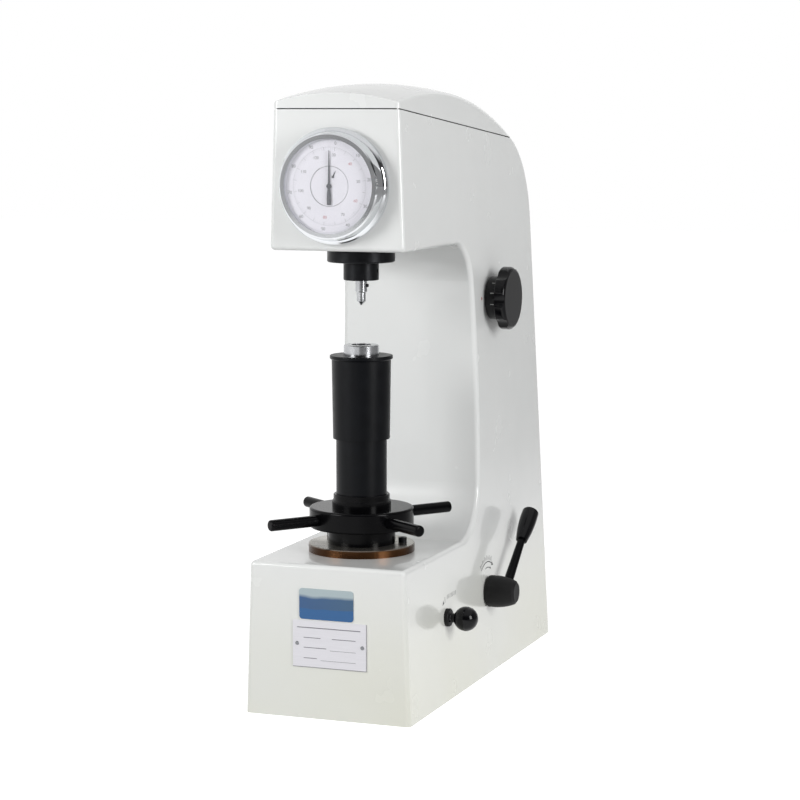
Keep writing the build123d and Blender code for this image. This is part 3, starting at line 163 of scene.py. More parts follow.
def black_oxide():
    """Black oxide on turned steel, oiled: the tool's marks, drawn 0.5 mm apart, show under the dark skin."""
    material, tree, surface, place = finish_named("black_oxide_steel", {
        "Metallic": 0.6, "Specular IOR Level": 0.3})
    turned = add(tree, "ShaderNodeMapping", {"Vector": place, "Location": -SCREW_AXIS}, "Vector")
    marks = add(tree, "ShaderNodeTexWave", {"Vector": turned, "Scale": rings(0.0005), "Distortion": 0.6,
                                            "Detail": 1.0}, "Fac", wave_type="RINGS", rings_direction="Z")
    grain = add(tree, "ShaderNodeTexNoise", {"Vector": place, "Scale": grains(0.003), "Detail": 3.0}, "Fac")
    dark = add(tree, "ShaderNodeMix", {0: grain, 6: linear("#101113"), 7: linear("#1b1c1f")}, 2,
               data_type="RGBA")
    gloss = add(tree, "ShaderNodeMapRange", {"Value": grain, "From Min": 0.3, "From Max": 0.7,
                                             "To Min": 0.28, "To Max": 0.42}, "Result")
    skin = add(tree, "ShaderNodeBump", {"Height": marks, "Distance": 0.00002, "Strength": 0.3}, "Normal")
    feed(tree, surface, {"Base Color": dark, "Roughness": gloss, "Normal": skin})
    return material


def turned_metal(name, light, dark, low, high, pitch=0.8 * MM, centre=SCREW_AXIS):
    """Bare metal off the lathe: rings and bands of the tool's feed, drawn pitch apart so that they show
    (the real ones lie 0.1 to 0.2 mm apart), under a cloudy film of oil 5 mm across."""
    material, tree, surface, place = finish_named(name, {"Metallic": 1.0})
    turned = add(tree, "ShaderNodeMapping", {"Vector": place, "Location": -centre}, "Vector")
    faced = add(tree, "ShaderNodeTexWave", {"Vector": turned, "Scale": rings(pitch), "Distortion": 0.8,
                                            "Detail": 1.0}, "Fac", wave_type="RINGS", rings_direction="Z")
    fed = add(tree, "ShaderNodeTexWave", {"Vector": turned, "Scale": rings(pitch), "Distortion": 0.4,
                                          "Detail": 1.0}, "Fac", wave_type="BANDS", bands_direction="Z")
    film = add(tree, "ShaderNodeTexNoise", {"Vector": place, "Scale": grains(0.005), "Detail": 3.0}, "Fac")
    bare = add(tree, "ShaderNodeMix", {0: film, 6: linear(dark), 7: linear(light)}, 2, data_type="RGBA")
    gloss = add(tree, "ShaderNodeMapRange", {"Value": film, "From Min": 0.3, "From Max": 0.7,
                                             "To Min": low, "To Max": high}, "Result")
    first = add(tree, "ShaderNodeBump", {"Height": faced, "Distance": 0.00002, "Strength": 0.4}, "Normal")
    skin = add(tree, "ShaderNodeBump", {"Height": fed, "Distance": 0.00001, "Strength": 0.3,
                                        "Normal": first}, "Normal")
    feed(tree, surface, {"Base Color": bare, "Roughness": gloss, "Normal": skin})
    return material


def browned_ring():
    """Turned bronze ring: its rim browned by hands and oil, its upper face kept bright off the lathe."""
    material, tree, surface, place = finish_named("turned_bronze_browned", {"Metallic": 0.9})
    up = add(tree, "ShaderNodeSeparateXYZ",
             {"Vector": add(tree, "ShaderNodeNewGeometry", out="Normal")}, "Z")
    face = add(tree, "ShaderNodeMapRange", {"Value": up, "From Min": 0.6, "From Max": 0.9}, "Result")
    stain = add(tree, "ShaderNodeTexNoise", {"Vector": place, "Scale": grains(0.012), "Detail": 4.0}, "Fac")
    rim = add(tree, "ShaderNodeMix", {0: stain, 6: linear("#2c1a0c"), 7: linear("#5a3a20")}, 2,
              data_type="RGBA")
    both = add(tree, "ShaderNodeMix", {0: face, 6: rim, 7: linear("#aaa69e")}, 2, data_type="RGBA")
    gloss = add(tree, "ShaderNodeMapRange", {"Value": stain, "From Min": 0.3, "From Max": 0.7,
                                             "To Min": 0.20, "To Max": 0.34}, "Result")
    turned = add(tree, "ShaderNodeMapping", {"Vector": place, "Location": -SCREW_AXIS}, "Vector")
    marks = add(tree, "ShaderNodeTexWave", {"Vector": turned, "Scale": rings(0.0008)}, "Fac",
                wave_type="RINGS", rings_direction="Z")
    skin = add(tree, "ShaderNodeBump", {"Height": marks, "Distance": 0.00002, "Strength": 0.3}, "Normal")
    feed(tree, surface, {"Base Color": both, "Roughness": gloss, "Normal": skin})
    return material


def chrome_plate():
    """Bright chrome plate on a spun brass bezel: a mirror with the polisher's faint rings, 0.6 mm apart,
    and a smear of fingers 12 mm across."""
    material, tree, surface, place = finish_named("chrome_plate_polished", {
        "Metallic": 1.0, "Base Color": linear("#e2e4e7")})
    spun = add(tree, "ShaderNodeMapping", {"Vector": place, "Location": -DIAL_CENTRE}, "Vector")
    marks = add(tree, "ShaderNodeTexWave", {"Vector": spun, "Scale": rings(0.0006), "Distortion": 1.0}, "Fac",
                wave_type="RINGS", rings_direction="Y")
    smear = add(tree, "ShaderNodeTexNoise", {"Vector": place, "Scale": grains(0.012), "Detail": 3.0}, "Fac")
    gloss = add(tree, "ShaderNodeMapRange", {"Value": smear, "From Min": 0.3, "From Max": 0.7,
                                             "To Min": 0.04, "To Max": 0.08}, "Result")
    skin = add(tree, "ShaderNodeBump", {"Height": marks, "Distance": 0.000004, "Strength": 0.3}, "Normal")
    feed(tree, surface, {"Roughness": gloss, "Normal": skin})
    return material


def dial_paint():
    """Satin white paint sprayed on the brass dial, slightly lavender, with a fine 0.4 mm grain."""
    material, tree, surface, place = finish_named("satin_dial_paint", {"IOR": 1.45})
    cloud = add(tree, "ShaderNodeTexNoise", {"Vector": place, "Scale": grains(0.006), "Detail": 4.0}, "Fac")
    white = add(tree, "ShaderNodeMix", {0: cloud, 6: linear("#e2e0e8"), 7: linear("#e8e6ee")}, 2,
                data_type="RGBA")
    gloss = add(tree, "ShaderNodeMapRange", {"Value": cloud, "From Min": 0.3, "From Max": 0.7,
                                             "To Min": 0.42, "To Max": 0.5}, "Result")
    grain = add(tree, "ShaderNodeTexNoise", {"Vector": place, "Scale": grains(0.0004), "Detail": 2.0}, "Fac")
    skin = add(tree, "ShaderNodeBump", {"Height": grain, "Distance": 0.00001, "Strength": 0.3}, "Normal")
    feed(tree, surface, {"Base Color": white, "Roughness": gloss, "Normal": skin})
    return material


def printed_ink(name, thick, thin):
    """Screen-printed enamel ink: matt, with the slight unevenness of a thin print, in 1.5 mm clouds."""
    material, tree, surface, place = finish_named(name, {"Roughness": 0.5, "IOR": 1.48})
    cloud = add(tree, "ShaderNodeTexNoise", {"Vector": place, "Scale": grains(0.0015), "Detail": 3.0}, "Fac")
    colour = add(tree, "ShaderNodeMix", {0: cloud, 6: linear(thick), 7: linear(thin)}, 2, data_type="RGBA")
    feed(tree, surface, {"Base Color": colour})
    return material


def blued_steel():
    """Blued steel strip: dark grey-blue with a satin face, uneven where the heat ran over it."""
    material, tree, surface, place = finish_named("blued_steel_strip", {"Metallic": 0.6, "Roughness": 0.38})
    heat = add(tree, "ShaderNodeTexNoise", {"Vector": place, "Scale": grains(0.003), "Detail": 3.0}, "Fac")
    colour = add(tree, "ShaderNodeMix", {0: heat, 6: linear("#35353b"), 7: linear("#4d4d55")}, 2,
                 data_type="RGBA")
    feed(tree, surface, {"Base Color": colour})
    return material


def gauge_glass():
    """Flat float glass, 1.6 mm thick: clear, with a wiped face that only carries reflections."""
    material, tree, surface, place = finish_named("flat_gauge_glass", {
        "IOR": 1.5, "Alpha": 0.06, "Base Color": linear("#f4f8f8")})
    wiped = add(tree, "ShaderNodeTexNoise", {"Vector": place, "Scale": grains(0.02), "Detail": 2.0}, "Fac")
    gloss = add(tree, "ShaderNodeMapRange", {"Value": wiped, "From Min": 0.3, "From Max": 0.7,
                                             "To Min": 0.01, "To Max": 0.04}, "Result")
    feed(tree, surface, {"Roughness": gloss})
    return material


def polished_phenolic():
    """Black phenolic, pressed and buffed: hard gloss with the mould's soft 5 mm flow under it."""
    material, tree, surface, place = finish_named("pressed_phenolic_polished", {
        "Specular IOR Level": 0.2, "Coat Weight": 0.08, "Coat Roughness": 0.05, "Roughness": 0.18})
    grain = add(tree, "ShaderNodeTexNoise", {"Vector": place, "Scale": grains(0.003), "Detail": 3.0}, "Fac")
    black = add(tree, "ShaderNodeMix", {0: grain, 6: linear("#050507"), 7: linear("#0b0b0e")}, 2,
                data_type="RGBA")
    flow = add(tree, "ShaderNodeTexNoise", {"Vector": place, "Scale": grains(0.005), "Detail": 1.0}, "Fac")
    skin = add(tree, "ShaderNodeBump", {"Height": flow, "Distance": 0.00005, "Strength": 0.3}, "Normal")
    feed(tree, surface, {"Base Color": black, "Normal": skin})
    return material


def moulded_nylon():
    """Moulded black nylon: a spark-eroded 0.5 mm grain that scatters the light, paler where rubbed."""
    material, tree, surface, place = finish_named("moulded_nylon_grained", {"Specular IOR Level": 0.2})
    rub = add(tree, "ShaderNodeTexNoise", {"Vector": place, "Scale": grains(0.015), "Detail": 3.0}, "Fac")
    black = add(tree, "ShaderNodeMix", {0: rub, 6: linear("#0f0f10"), 7: linear("#1c1c1c")}, 2,
                data_type="RGBA")
    gloss = add(tree, "ShaderNodeMapRange", {"Value": rub, "From Min": 0.3, "From Max": 0.7,
                                             "To Min": 0.46, "To Max": 0.6}, "Result")
    eroded = add(tree, "ShaderNodeTexNoise", {"Vector": place, "Scale": grains(0.0005), "Detail": 2.0}, "Fac")
    skin = add(tree, "ShaderNodeBump", {"Height": eroded, "Distance": 0.00004, "Strength": 0.5}, "Normal")
    feed(tree, surface, {"Base Color": black, "Roughness": gloss, "Normal": skin})
    return material


def anodised_plate():
    """Satin anodised aluminium, brushed along X with lines 0.3 mm apart: pale lavender grey."""
    material, tree, surface, place = finish_named("anodised_aluminium_brushed", {"Metallic": 0.5})
    drawn = add(tree, "ShaderNodeMapping", {"Vector": place, "Scale": (40, 1600, 1600)}, "Vector")
    brush = add(tree, "ShaderNodeTexNoise", {"Vector": drawn, "Scale": 1.0, "Detail": 2.0}, "Fac")
    pale = add(tree, "ShaderNodeMix", {0: brush, 6: linear("#cfced3"), 7: linear("#dedde2")}, 2,
               data_type="RGBA")
    gloss = add(tree, "ShaderNodeMapRange", {"Value": brush, "From Min": 0.3, "From Max": 0.7,
                                             "To Min": 0.38, "To Max": 0.5}, "Result")
    skin = add(tree, "ShaderNodeBump", {"Height": brush, "Distance": 0.00001, "Strength": 0.3}, "Normal")
    feed(tree, surface, {"Base Color": pale, "Roughness": gloss, "Normal": skin})
    return material


def fired_enamel():
    """Vitreous enamel fired on a thin plate in three fields: a pale grey strip along the top, a middle
    blue, and a clear deep blue below a line that ran a little in the kiln."""
    material, tree, surface, place = finish_named("fired_enamel_blue", {
        "Coat Weight": 0.3, "Coat Roughness": 0.05, "Roughness": 0.3})
    low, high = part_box("badge_plate")
    local = add(tree, "ShaderNodeMapping", {"Vector": place, "Location": -(low + high) / 2}, "Vector")
    across = add(tree, "ShaderNodeSeparateXYZ", {"Vector": local})
    ran = add(tree, "ShaderNodeTexNoise", {"Vector": place, "Scale": grains(0.012), "Detail": 1.0}, "Fac")
    level = add(tree, "ShaderNodeMath", {0: ran, 1: 0.004, 2: across.outputs["Z"]}, 0,
                operation="MULTIPLY_ADD")
    top = add(tree, "ShaderNodeMapRange", {"Value": level, "From Min": 0.0078, "From Max": 0.0112}, "Result")
    foot = add(tree, "ShaderNodeMapRange", {"Value": level, "From Min": -0.0022, "From Max": -0.0030},
               "Result")
    fall = add(tree, "ShaderNodeMapRange", {"Value": across.outputs["X"], "From Min": -0.028,
                                            "From Max": 0.028}, "Result")
    middle = add(tree, "ShaderNodeMix", {0: fall, 6: linear("#204f80"), 7: linear("#2f5678")}, 2,
                 data_type="RGBA")
    lower = add(tree, "ShaderNodeMix", {0: foot, 6: middle, 7: linear("#0b568f")}, 2, data_type="RGBA")
    whole = add(tree, "ShaderNodeMix", {0: top, 6: lower, 7: linear("#a9b8bd")}, 2, data_type="RGBA")
    pits = add(tree, "ShaderNodeTexNoise", {"Vector": place, "Scale": grains(0.004), "Detail": 1.0}, "Fac")
    skin = add(tree, "ShaderNodeBump", {"Height": pits, "Distance": 0.00002, "Strength": 0.3}, "Normal")
    feed(tree, surface, {"Base Color": whole, "Normal": skin})
    return material


def sand_cast():
    """Sand-cast iron under a thin wash of paint: 1.2 mm sand grain and a dull, uneven skin."""
    material, tree, surface, place = finish_named("sand_cast_iron_painted", {"Metallic": 0.3})
    sand = add(tree, "ShaderNodeTexNoise", {"Vector": place, "Scale": grains(0.0012), "Detail": 4.0}, "Fac")
    grey = add(tree, "ShaderNodeMix", {0: sand, 6: linear("#3a3c3e"), 7: linear("#4a4c4f")}, 2,
               data_type="RGBA")
    gloss = add(tree, "ShaderNodeMapRange", {"Value": sand, "From Min": 0.3, "From Max": 0.7,
                                             "To Min": 0.5, "To Max": 0.7}, "Result")
    skin = add(tree, "ShaderNodeBump", {"Height": sand, "Distance": 0.0001, "Strength": 0.6}, "Normal")
    feed(tree, surface, {"Base Color": grey, "Roughness": gloss, "Normal": skin})
    return material


def painted_seam_shade():
    """Painted shade in the cover's joint: a matt black band that stands in for the groove's shadow, mottled 4
    mm across.
    """
    material, tree, surface, place = finish_named("painted_seam_shade_black", {
        "Specular IOR Level": 0.2, "Roughness": 0.7})
    shade_mottle = add(tree, "ShaderNodeTexNoise", {"Vector": place, "Scale": grains(0.004), "Detail": 3.0}, "Fac")
    black = add(tree, "ShaderNodeMix", {0: shade_mottle, 6: linear("#101010"), 7: linear("#202020")}, 2,
                data_type="RGBA")
    feed(tree, surface, {"Base Color": black})
    return material


print_black = printed_ink("dial_ink_grey", "#6b6b70", "#7d7d82")
print_red = printed_ink("dial_ink_red", "#b8727a", "#c6858c")
print_pale = printed_ink("dial_ink_pale", "#b4b4ba", "#c0c0c6")
mark_black = printed_ink("transfer_ink_black", "#26282b", "#3a3c40")
mark_pale = printed_ink("filled_line_white", "#a9aaa8", "#b9bab8")
# grey ink of the nameplate's ruled lines, also used for the painted shadow along its edges
plate_ink_and_shadow = printed_ink("plate_ink_and_shadow_grey", "#6d6c72", "#7e7d84")
dot_red = printed_ink("filled_dot_red", "#8c3030", "#9c4038")
# painted shade for the groove in the cover's joint
seam_shade_black = painted_seam_shade()

finishes = [
    (stoved_enamel(), ["frame_casting", "top_cover", "rear_cover"]),
    (dipped_enamel(), ["handwheel", "handwheel_bars", "bearing_housing", "unload_rod"]),
    (stoving_paint(), ["lower_sleeve", "upper_sleeve"]),
    (black_oxide(), ["spindle_housing", "housing_screw", "indenter_screw", "ring_screws", "dial_case"]),
    (turned_metal("ground_steel_bright", "#c9cacc", "#a9abae", 0.14, 0.24),
     ["elevating_screw", "spindle", "indenter", "thrust_bearing"]),
    (turned_metal("machined_steel_oiled", "#a5a6a8", "#8a8c8f", 0.28, 0.42),
     ["guide_key", "spring_cap", "spindle_spring", "gauge_body", "gauge_lever", "fulcrum_blocks",
      "main_lever", "weight_hanger", "damper_cylinder", "lift_rod", "lift_cam", "unload_shaft",
      "selector_shaft", "selector_cam", "selector_fork", "fork_guides", "load_stem"]),
    (turned_metal("bearing_bronze_turned", "#b58a4e", "#94703f", 0.25, 0.38),
     ["guide_bush", "lead_nut", "spindle_bush", "side_bushes"]),
    (turned_metal("zinc_plated_screw", "#8f9194", "#77797c", 0.28, 0.42, pitch=0.0004),
     ["rear_cover_screws", "nameplate_rivets"]),
    (chrome_plate(), ["bezel"]),
    (dial_paint(), ["dial_plate", "dial_centre"]),
    (blued_steel(), ["long_pointer", "short_pointer"]),
    (gauge_glass(), ["dial_glass"]),
    (polished_phenolic(), ["selector_knob", "selector_skirt", "unload_grip", "load_ball"]),
    (moulded_nylon(), ["unload_hub", "latch_collar"]),
    (anodised_plate(), ["nameplate"]),
    (fired_enamel(), ["badge_plate"]),
    (sand_cast(), ["weight_a", "weight_b", "weight_c"]),
    (browned_ring(), ["base_ring"]),
]
for material, names in finishes:
    for name in names:
        for held in solids[name].material_slots:
            held.material = material


# ---- mesh code shared by the scene's own pieces ----
def flat_mesh(name, verts, faces, material):
    """A plain mesh with one material."""
    mesh = bpy.data.meshes.new(name)
    mesh.from_pydata([tuple(v) for v in verts], [], faces)
    mesh.materials.append(material)
    mesh.update()
    return mesh


def mesh_piece(name, mesh, body):
    """A mesh as an object at the origin that rides on a body."""
    piece = bpy.data.objects.new(name, mesh)
    bpy.context.scene.collection.objects.link(piece)
    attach(piece, body)


def baked(holder, matrix):
    """The evaluated shape of an object as a plain mesh, moved by a matrix."""
    bpy.context.view_layer.update()
    mesh = bpy.data.meshes.new_from_object(holder.evaluated_get(bpy.context.evaluated_depsgraph_get()))
    mesh.transform(matrix)
    return mesh


def settle(name, meshes, body):
    """One object at the origin from several plain meshes."""
    verts, faces, owners, materials = [], [], [], []
    for mesh in meshes:
        base = len(verts)
        verts += [v.co.copy() for v in mesh.vertices]
        for face in mesh.polygons:
            faces.append([base + i for i in face.vertices])
            material = mesh.materials[face.material_index]
            if material not in materials:
                materials.append(material)
            owners.append(materials.index(material))
    whole = flat_mesh(name, verts, faces, materials[0])
    for extra in materials[1:]:
        whole.materials.append(extra)
    whole.polygons.foreach_set("material_index", owners)
    whole.update()
    mesh_piece(name, whole, body)


# ---- strokes set round a circle: dial divisions, skirt lines ----
def stroke_ring_tree():
    """Geometry Nodes: a number of equal strokes on a circle, standing out from its centre."""
    tree = bpy.data.node_groups.new("strokes_on_a_circle", "GeometryNodeTree")
    kinds = {"Count": "NodeSocketInt", "Ink": "NodeSocketMaterial"}
    for name in ("Count", "Radius", "Length", "Width", "Depth", "Start", "Step", "Ink"):
        tree.interface.new_socket(name=name, in_out="INPUT", socket_type=kinds.get(name, "NodeSocketFloat"))
    tree.interface.new_socket(name="Strokes", in_out="OUTPUT", socket_type="NodeSocketGeometry")
    given = add(tree, "NodeGroupInput").outputs
    index = add(tree, "GeometryNodeInputIndex", out="Index")
    angle = add(tree, "ShaderNodeMath", {0: index, 1: given["Step"], 2: given["Start"]}, 0,
                operation="MULTIPLY_ADD")
    reach = add(tree, "ShaderNodeMath", {0: given["Length"], 1: 0.5, 2: given["Radius"]}, 0,
                operation="MULTIPLY_ADD")
    sine = add(tree, "ShaderNodeMath", {0: angle}, 0, operation="SINE")
    cosine = add(tree, "ShaderNodeMath", {0: angle}, 0, operation="COSINE")
    across = add(tree, "ShaderNodeMath", {0: sine, 1: reach}, 0, operation="MULTIPLY")
    along = add(tree, "ShaderNodeMath", {0: cosine, 1: reach}, 0, operation="MULTIPLY")
    spot = add(tree, "ShaderNodeCombineXYZ", {"X": across, "Z": along}, "Vector")
    turn = add(tree, "ShaderNodeCombineXYZ", {"Y": angle}, "Vector")
    points = add(tree, "GeometryNodePoints", {"Count": given["Count"], "Position": spot}, "Points")
    size = add(tree, "ShaderNodeCombineXYZ", {"X": given["Width"], "Y": given["Depth"], "Z": given["Length"]},
               "Vector")
    bar = add(tree, "GeometryNodeMeshCube", {"Size": size}, "Mesh")
    copies = add(tree, "GeometryNodeInstanceOnPoints", {"Points": points, "Instance": bar, "Rotation": turn},
                 "Instances")
    real = add(tree, "GeometryNodeRealizeInstances", {"Geometry": copies}, "Geometry")
    inked = add(tree, "GeometryNodeSetMaterial", {"Geometry": real, "Material": given["Ink"]}, "Geometry")
    add(tree, "NodeGroupOutput", {"Strokes": inked})
    return tree


stroke_tree = stroke_ring_tree()


def stroke_ring(matrix, **values):
    """The strokes as a plain mesh, in their place."""
    holder = bpy.data.objects.new("stroke_holder", bpy.data.meshes.new("stroke_holder"))
    bpy.context.scene.collection.objects.link(holder)
    maker = holder.modifiers.new("strokes", "NODES")
    maker.node_group = stroke_tree
    for socket in stroke_tree.interface.items_tree:
        if socket.in_out == "INPUT":
            maker[socket.identifier] = values[socket.name]
    mesh = baked(holder, matrix)
    bpy.data.objects.remove(holder)
    return mesh


def ring_line(radius, width, material, matrix, first=0, last=360):
    """A printed arc, flat, facing -Y, from first to last degrees clockwise from the top."""
    verts = []
    steps = (last - first) // 3
    for i in range(steps + 1):
        a = math.radians(first + (last - first) * i / steps)
        for r in (radius - width / 2, radius + width / 2):
            verts.append(matrix @ Vector((math.sin(a) * r, 0, math.cos(a) * r)))
    faces = [(2 * i, 2 * i + 1, 2 * i + 3, 2 * i + 2) for i in range(steps)]
    return flat_mesh("ring_line", verts, faces, material)


def numeral(text, size, material, matrix):
    """A number as a flat mesh, centred, reading from -Y."""
    curve = bpy.data.curves.new("numeral", "FONT")
    curve.body = text
    curve.size = size
    curve.align_x = "CENTER"
    curve.align_y = "CENTER"
    curve.materials.append(material)
    holder = bpy.data.objects.new("numeral", curve)
    bpy.context.scene.collection.objects.link(holder)
    mesh = baked(holder, matrix @ Matrix.Rotation(math.pi / 2, 4, "X"))
    bpy.data.objects.remove(holder)
    return mesh


# ---- printed dial: two scales of ten numbers and a hundred divisions, turned a little with its bezel ----
DIVISIONS = 100
NUMBERS = 10
SECOND_SCALE_START = 30
RED_NUMBERS = (1, 3, 5)
EDGE_CIRCLE = 0.965 * DIAL_RADIUS
FIRST_NUMBERS = 0.9 * DIAL_RADIUS
SCALE_CIRCLE = 0.815 * DIAL_RADIUS
SECOND_NUMBERS = 0.655 * DIAL_RADIUS
SMALL_CIRCLE = 0.425 * DIAL_RADIUS
FINE_LINE = 0.25 * MM
SHORT_TICK = 0.05 * DIAL_RADIUS
LONG_TICK = 0.07 * DIAL_RADIUS
FIRST_NUMERAL = 4.4 * MM
SECOND_NUMERAL = 4.0 * MM

on_dial = Matrix.Translation((DIAL_CENTRE.x, DIAL_FACE_Y - INK, DIAL_CENTRE.z))
turned_dial = on_dial @ Matrix.Rotation(DIAL_TURN, 4, "Y")
step = math.tau / DIVISIONS
# the inner circle is thick and dark over one arc, from 200 to 330 degrees, and fine and pale over the rest
prints = [ring_line(SCALE_CIRCLE, FINE_LINE, print_pale, on_dial),
          ring_line(EDGE_CIRCLE, FINE_LINE, print_pale, on_dial),
          ring_line(SMALL_CIRCLE, 0.4 * MM, print_black, on_dial, 200, 330),
          ring_line(SMALL_CIRCLE, FINE_LINE, print_pale, on_dial, -30, 200),
          stroke_ring(turned_dial, Count=DIVISIONS, Radius=SCALE_CIRCLE - SHORT_TICK, Length=SHORT_TICK,
                      Width=0.16 * MM, Depth=0.06 * MM, Start=0.0, Step=step, Ink=print_pale),
          stroke_ring(turned_dial, Count=DIVISIONS // 5, Radius=SCALE_CIRCLE - LONG_TICK, Length=LONG_TICK,
                      Width=0.24 * MM, Depth=0.07 * MM, Start=0.0, Step=5 * step, Ink=print_black)]
for number in range(NUMBERS):
    turn = number * math.tau / NUMBERS + DIAL_TURN
    out = Vector((math.sin(turn), 0, math.cos(turn)))
    first_spot = on_dial @ Matrix.Translation(out * FIRST_NUMBERS)
    second_spot = on_dial @ Matrix.Translation(out * SECOND_NUMBERS)
    inked = print_red if number in RED_NUMBERS else print_black
    prints.append(numeral(str(number * 10), FIRST_NUMERAL, print_black, first_spot))
    prints.append(numeral(str(SECOND_SCALE_START + number * 10), SECOND_NUMERAL, inked, second_spot))
settle("dial_print", prints, "bezel")


# ---- marks on the side wall: flat transfers that follow its lean ----
def on_wall(y, z, lift=INK):
    """A point on the right-hand wall."""
    return Vector((FOOT_HALF_WIDTH - z * math.tan(SIDE_LEAN) + lift, y, z))


def wall_stroke(points, width, material):
    """A ribbon of even width along points (y, z) of the wall."""
    verts = []
    for i, (y, z) in enumerate(points):
        before = Vector(points[max(i - 1, 0)])
        after = Vector(points[min(i + 1, len(points) - 1)])
        run = (after - before).normalized()
        side = Vector((-run.y, run.x)) * width / 2
        verts += [on_wall(y + side.x, z + side.y), on_wall(y - side.x, z - side.y)]
    faces = [(2 * i, 2 * i + 1, 2 * i + 3, 2 * i + 2) for i in range(len(points) - 1)]
    return flat_mesh("wall_stroke", verts, faces, material)


def wall_head(y, z, turn, size, material):
    """An arrow head at (y, z), pointing along turn, measured from +Y towards +Z."""
    corners = [(size, 0), (-size * 0.6, size * 0.62), (-size * 0.25, 0), (-size * 0.6, -size * 0.62)]
    verts = []
    for a, b in corners:
        across = a * math.cos(turn) - b * math.sin(turn)
        up = a * math.sin(turn) + b * math.cos(turn)
        verts.append(on_wall(y + across, z + up, INK * 1.5))
    return flat_mesh("wall_head", verts, [(0, 1, 2), (0, 2, 3)], material)


def round_point(centre, radius, degrees):
    """The point (y, z) at radius from a centre (y, z), degrees from +Y to +Z."""
    a = math.radians(degrees)
    return centre[0] + radius * math.cos(a), centre[1] + radius * math.sin(a)


HUB_CENTRE = (HUB_AXIS.y, HUB_AXIS.z)
TICK_WIDTH = 0.9 * MM
ARC_STEPS = 24
marks = []
# the lever's two arrows: radius, first and last degrees, width of the line, size of the head
for radius, first, last, width, head in ((31 * MM, 128, 58, 1.1 * MM, 4.0 * MM),
                                         (25 * MM, 104, 66, 0.8 * MM, 2.6 * MM)):
    arc = [round_point(HUB_CENTRE, radius, first + (last - first) * i / ARC_STEPS)
           for i in range(ARC_STEPS + 1)]
    run = Vector(arc[-1]) - Vector(arc[-4])
    marks.append(wall_stroke(arc, width, mark_black))
    marks.append(wall_head(*arc[-1], math.atan2(run.y, run.x), head, mark_black))
# ticks outside the larger arrow, every second one long
for degrees in range(66, 127, 6):
    length = 5.2 * MM if degrees % 12 == 6 else 3.6 * MM
    ends = [round_point(HUB_CENTRE, radius, degrees) for radius in (32.8 * MM, 32.8 * MM + length)]
    marks.append(wall_stroke(ends, TICK_WIDTH, mark_black))
# over the latch: an arrow head, a short bar and a row of leaning ticks
marks.append(wall_head(-124.5 * MM, 102.2 * MM, math.radians(222), 3.6 * MM, mark_black))
marks.append(wall_stroke([(-119.6 * MM, 101.6 * MM), (-119.6 * MM, 107.6 * MM)], 0.8 * MM, mark_black))
for i in range(7):
    y = -113 * MM + i * 4.2 * MM
    marks.append(wall_stroke([(y, 104.2 * MM), (y + 1.2 * MM, 108.6 * MM)], TICK_WIDTH, mark_black))
settle("wall_marks", marks, "frame")

# the selector's index dot, at (y, z) on the wall
DOT_CENTRE = (25.3 * MM, 399.3 * MM)
DOT_RADIUS = 1.7 * MM
DOT_CORNERS = 20
dot = [on_wall(*round_point(DOT_CENTRE, DOT_RADIUS, 360 * i / DOT_CORNERS), 2 * INK)
       for i in range(DOT_CORNERS)]
mesh_piece("knob_index_dot", flat_mesh("knob_index_dot", dot, [list(range(DOT_CORNERS))], dot_red), "frame")

# ---- ruled lines of the blank nameplate, and a painted shadow along its right and lower edges ----
plate_low, plate_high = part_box("nameplate")
PLATE_SHADOW = 0.5 * MM
bars = []
# lines to write on: from x, to x, height of the middle and thickness, in mm
for x0, x1, z, thick in ((-31, 36, 91.5, 0.9), (-24, -6, 81.5, 0.7), (6, 31, 81.5, 0.7), (-24, 0, 71.5, 0.7),
                         (4, 31, 69.8, 0.35), (-24, -10, 61.0, 0.7), (-6, 31, 59.3, 0.35)):
    bars.append((x0 * MM, x1 * MM, (z - thick / 2) * MM, (z + thick / 2) * MM))
# painted shadow: dark strips along the plate's lower and right edges, where its thickness casts shade
bars.append((plate_low.x, plate_high.x, plate_low.z, plate_low.z + PLATE_SHADOW))
bars.append((plate_high.x - PLATE_SHADOW, plate_high.x, plate_low.z, plate_high.z))
verts = [(x, plate_low.y - INK, z) for x0, x1, z0, z1 in bars
         for x, z in ((x0, z0), (x1, z0), (x1, z1), (x0, z1))]
faces = [range(4 * i, 4 * i + 4) for i in range(len(bars))]
mesh_piece("nameplate_rules_and_shadow", flat_mesh("nameplate_rules_and_shadow", verts, faces, plate_ink_and_shadow), "frame")

# ---- lines filled in white on the selector's skirt: along its rim, and short ones on its face ----
skirt_low, skirt_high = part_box("selector_skirt")
skirt_radius = (skirt_high.z - skirt_low.z) / 2
skirt_turn = Matrix.Rotation(math.pi / 2, 4, "Z")
skirt_face = Matrix.Translation((skirt_high.x + INK * 0.2, KNOB_AXIS.y, KNOB_AXIS.z)) @ skirt_turn
skirt_rim = Matrix.Translation((skirt_high.x - 4.5 * MM, KNOB_AXIS.y, KNOB_AXIS.z)) @ skirt_turn
rim_lines = stroke_ring(skirt_rim, Count=3, Radius=skirt_radius - 0.1 * MM, Length=0.15 * MM,
                        Width=0.9 * MM, Depth=5 * MM, Start=math.radians(-104), Step=math.radians(30),
                        Ink=mark_pale)
face_lines = stroke_ring(skirt_face, Count=4, Radius=skirt_radius - 3.4 * MM, Length=2.6 * MM,
                         Width=0.7 * MM, Depth=0.08 * MM, Start=math.radians(96), Step=math.radians(20),
                         Ink=mark_pale)
settle("selector_skirt_lines", [rim_lines, face_lines], "selector")


# ---- painted shade in the cover's joint: a dark band in the groove under the cover, along a section cut just under the joint ----
SEAM_UP = Vector((0, math.sin(SEAM_DROP), math.cos(SEAM_DROP)))
SEAM_CUT = 0.3 * MM
SHADE_BAND_STEP = 0.2 * MM


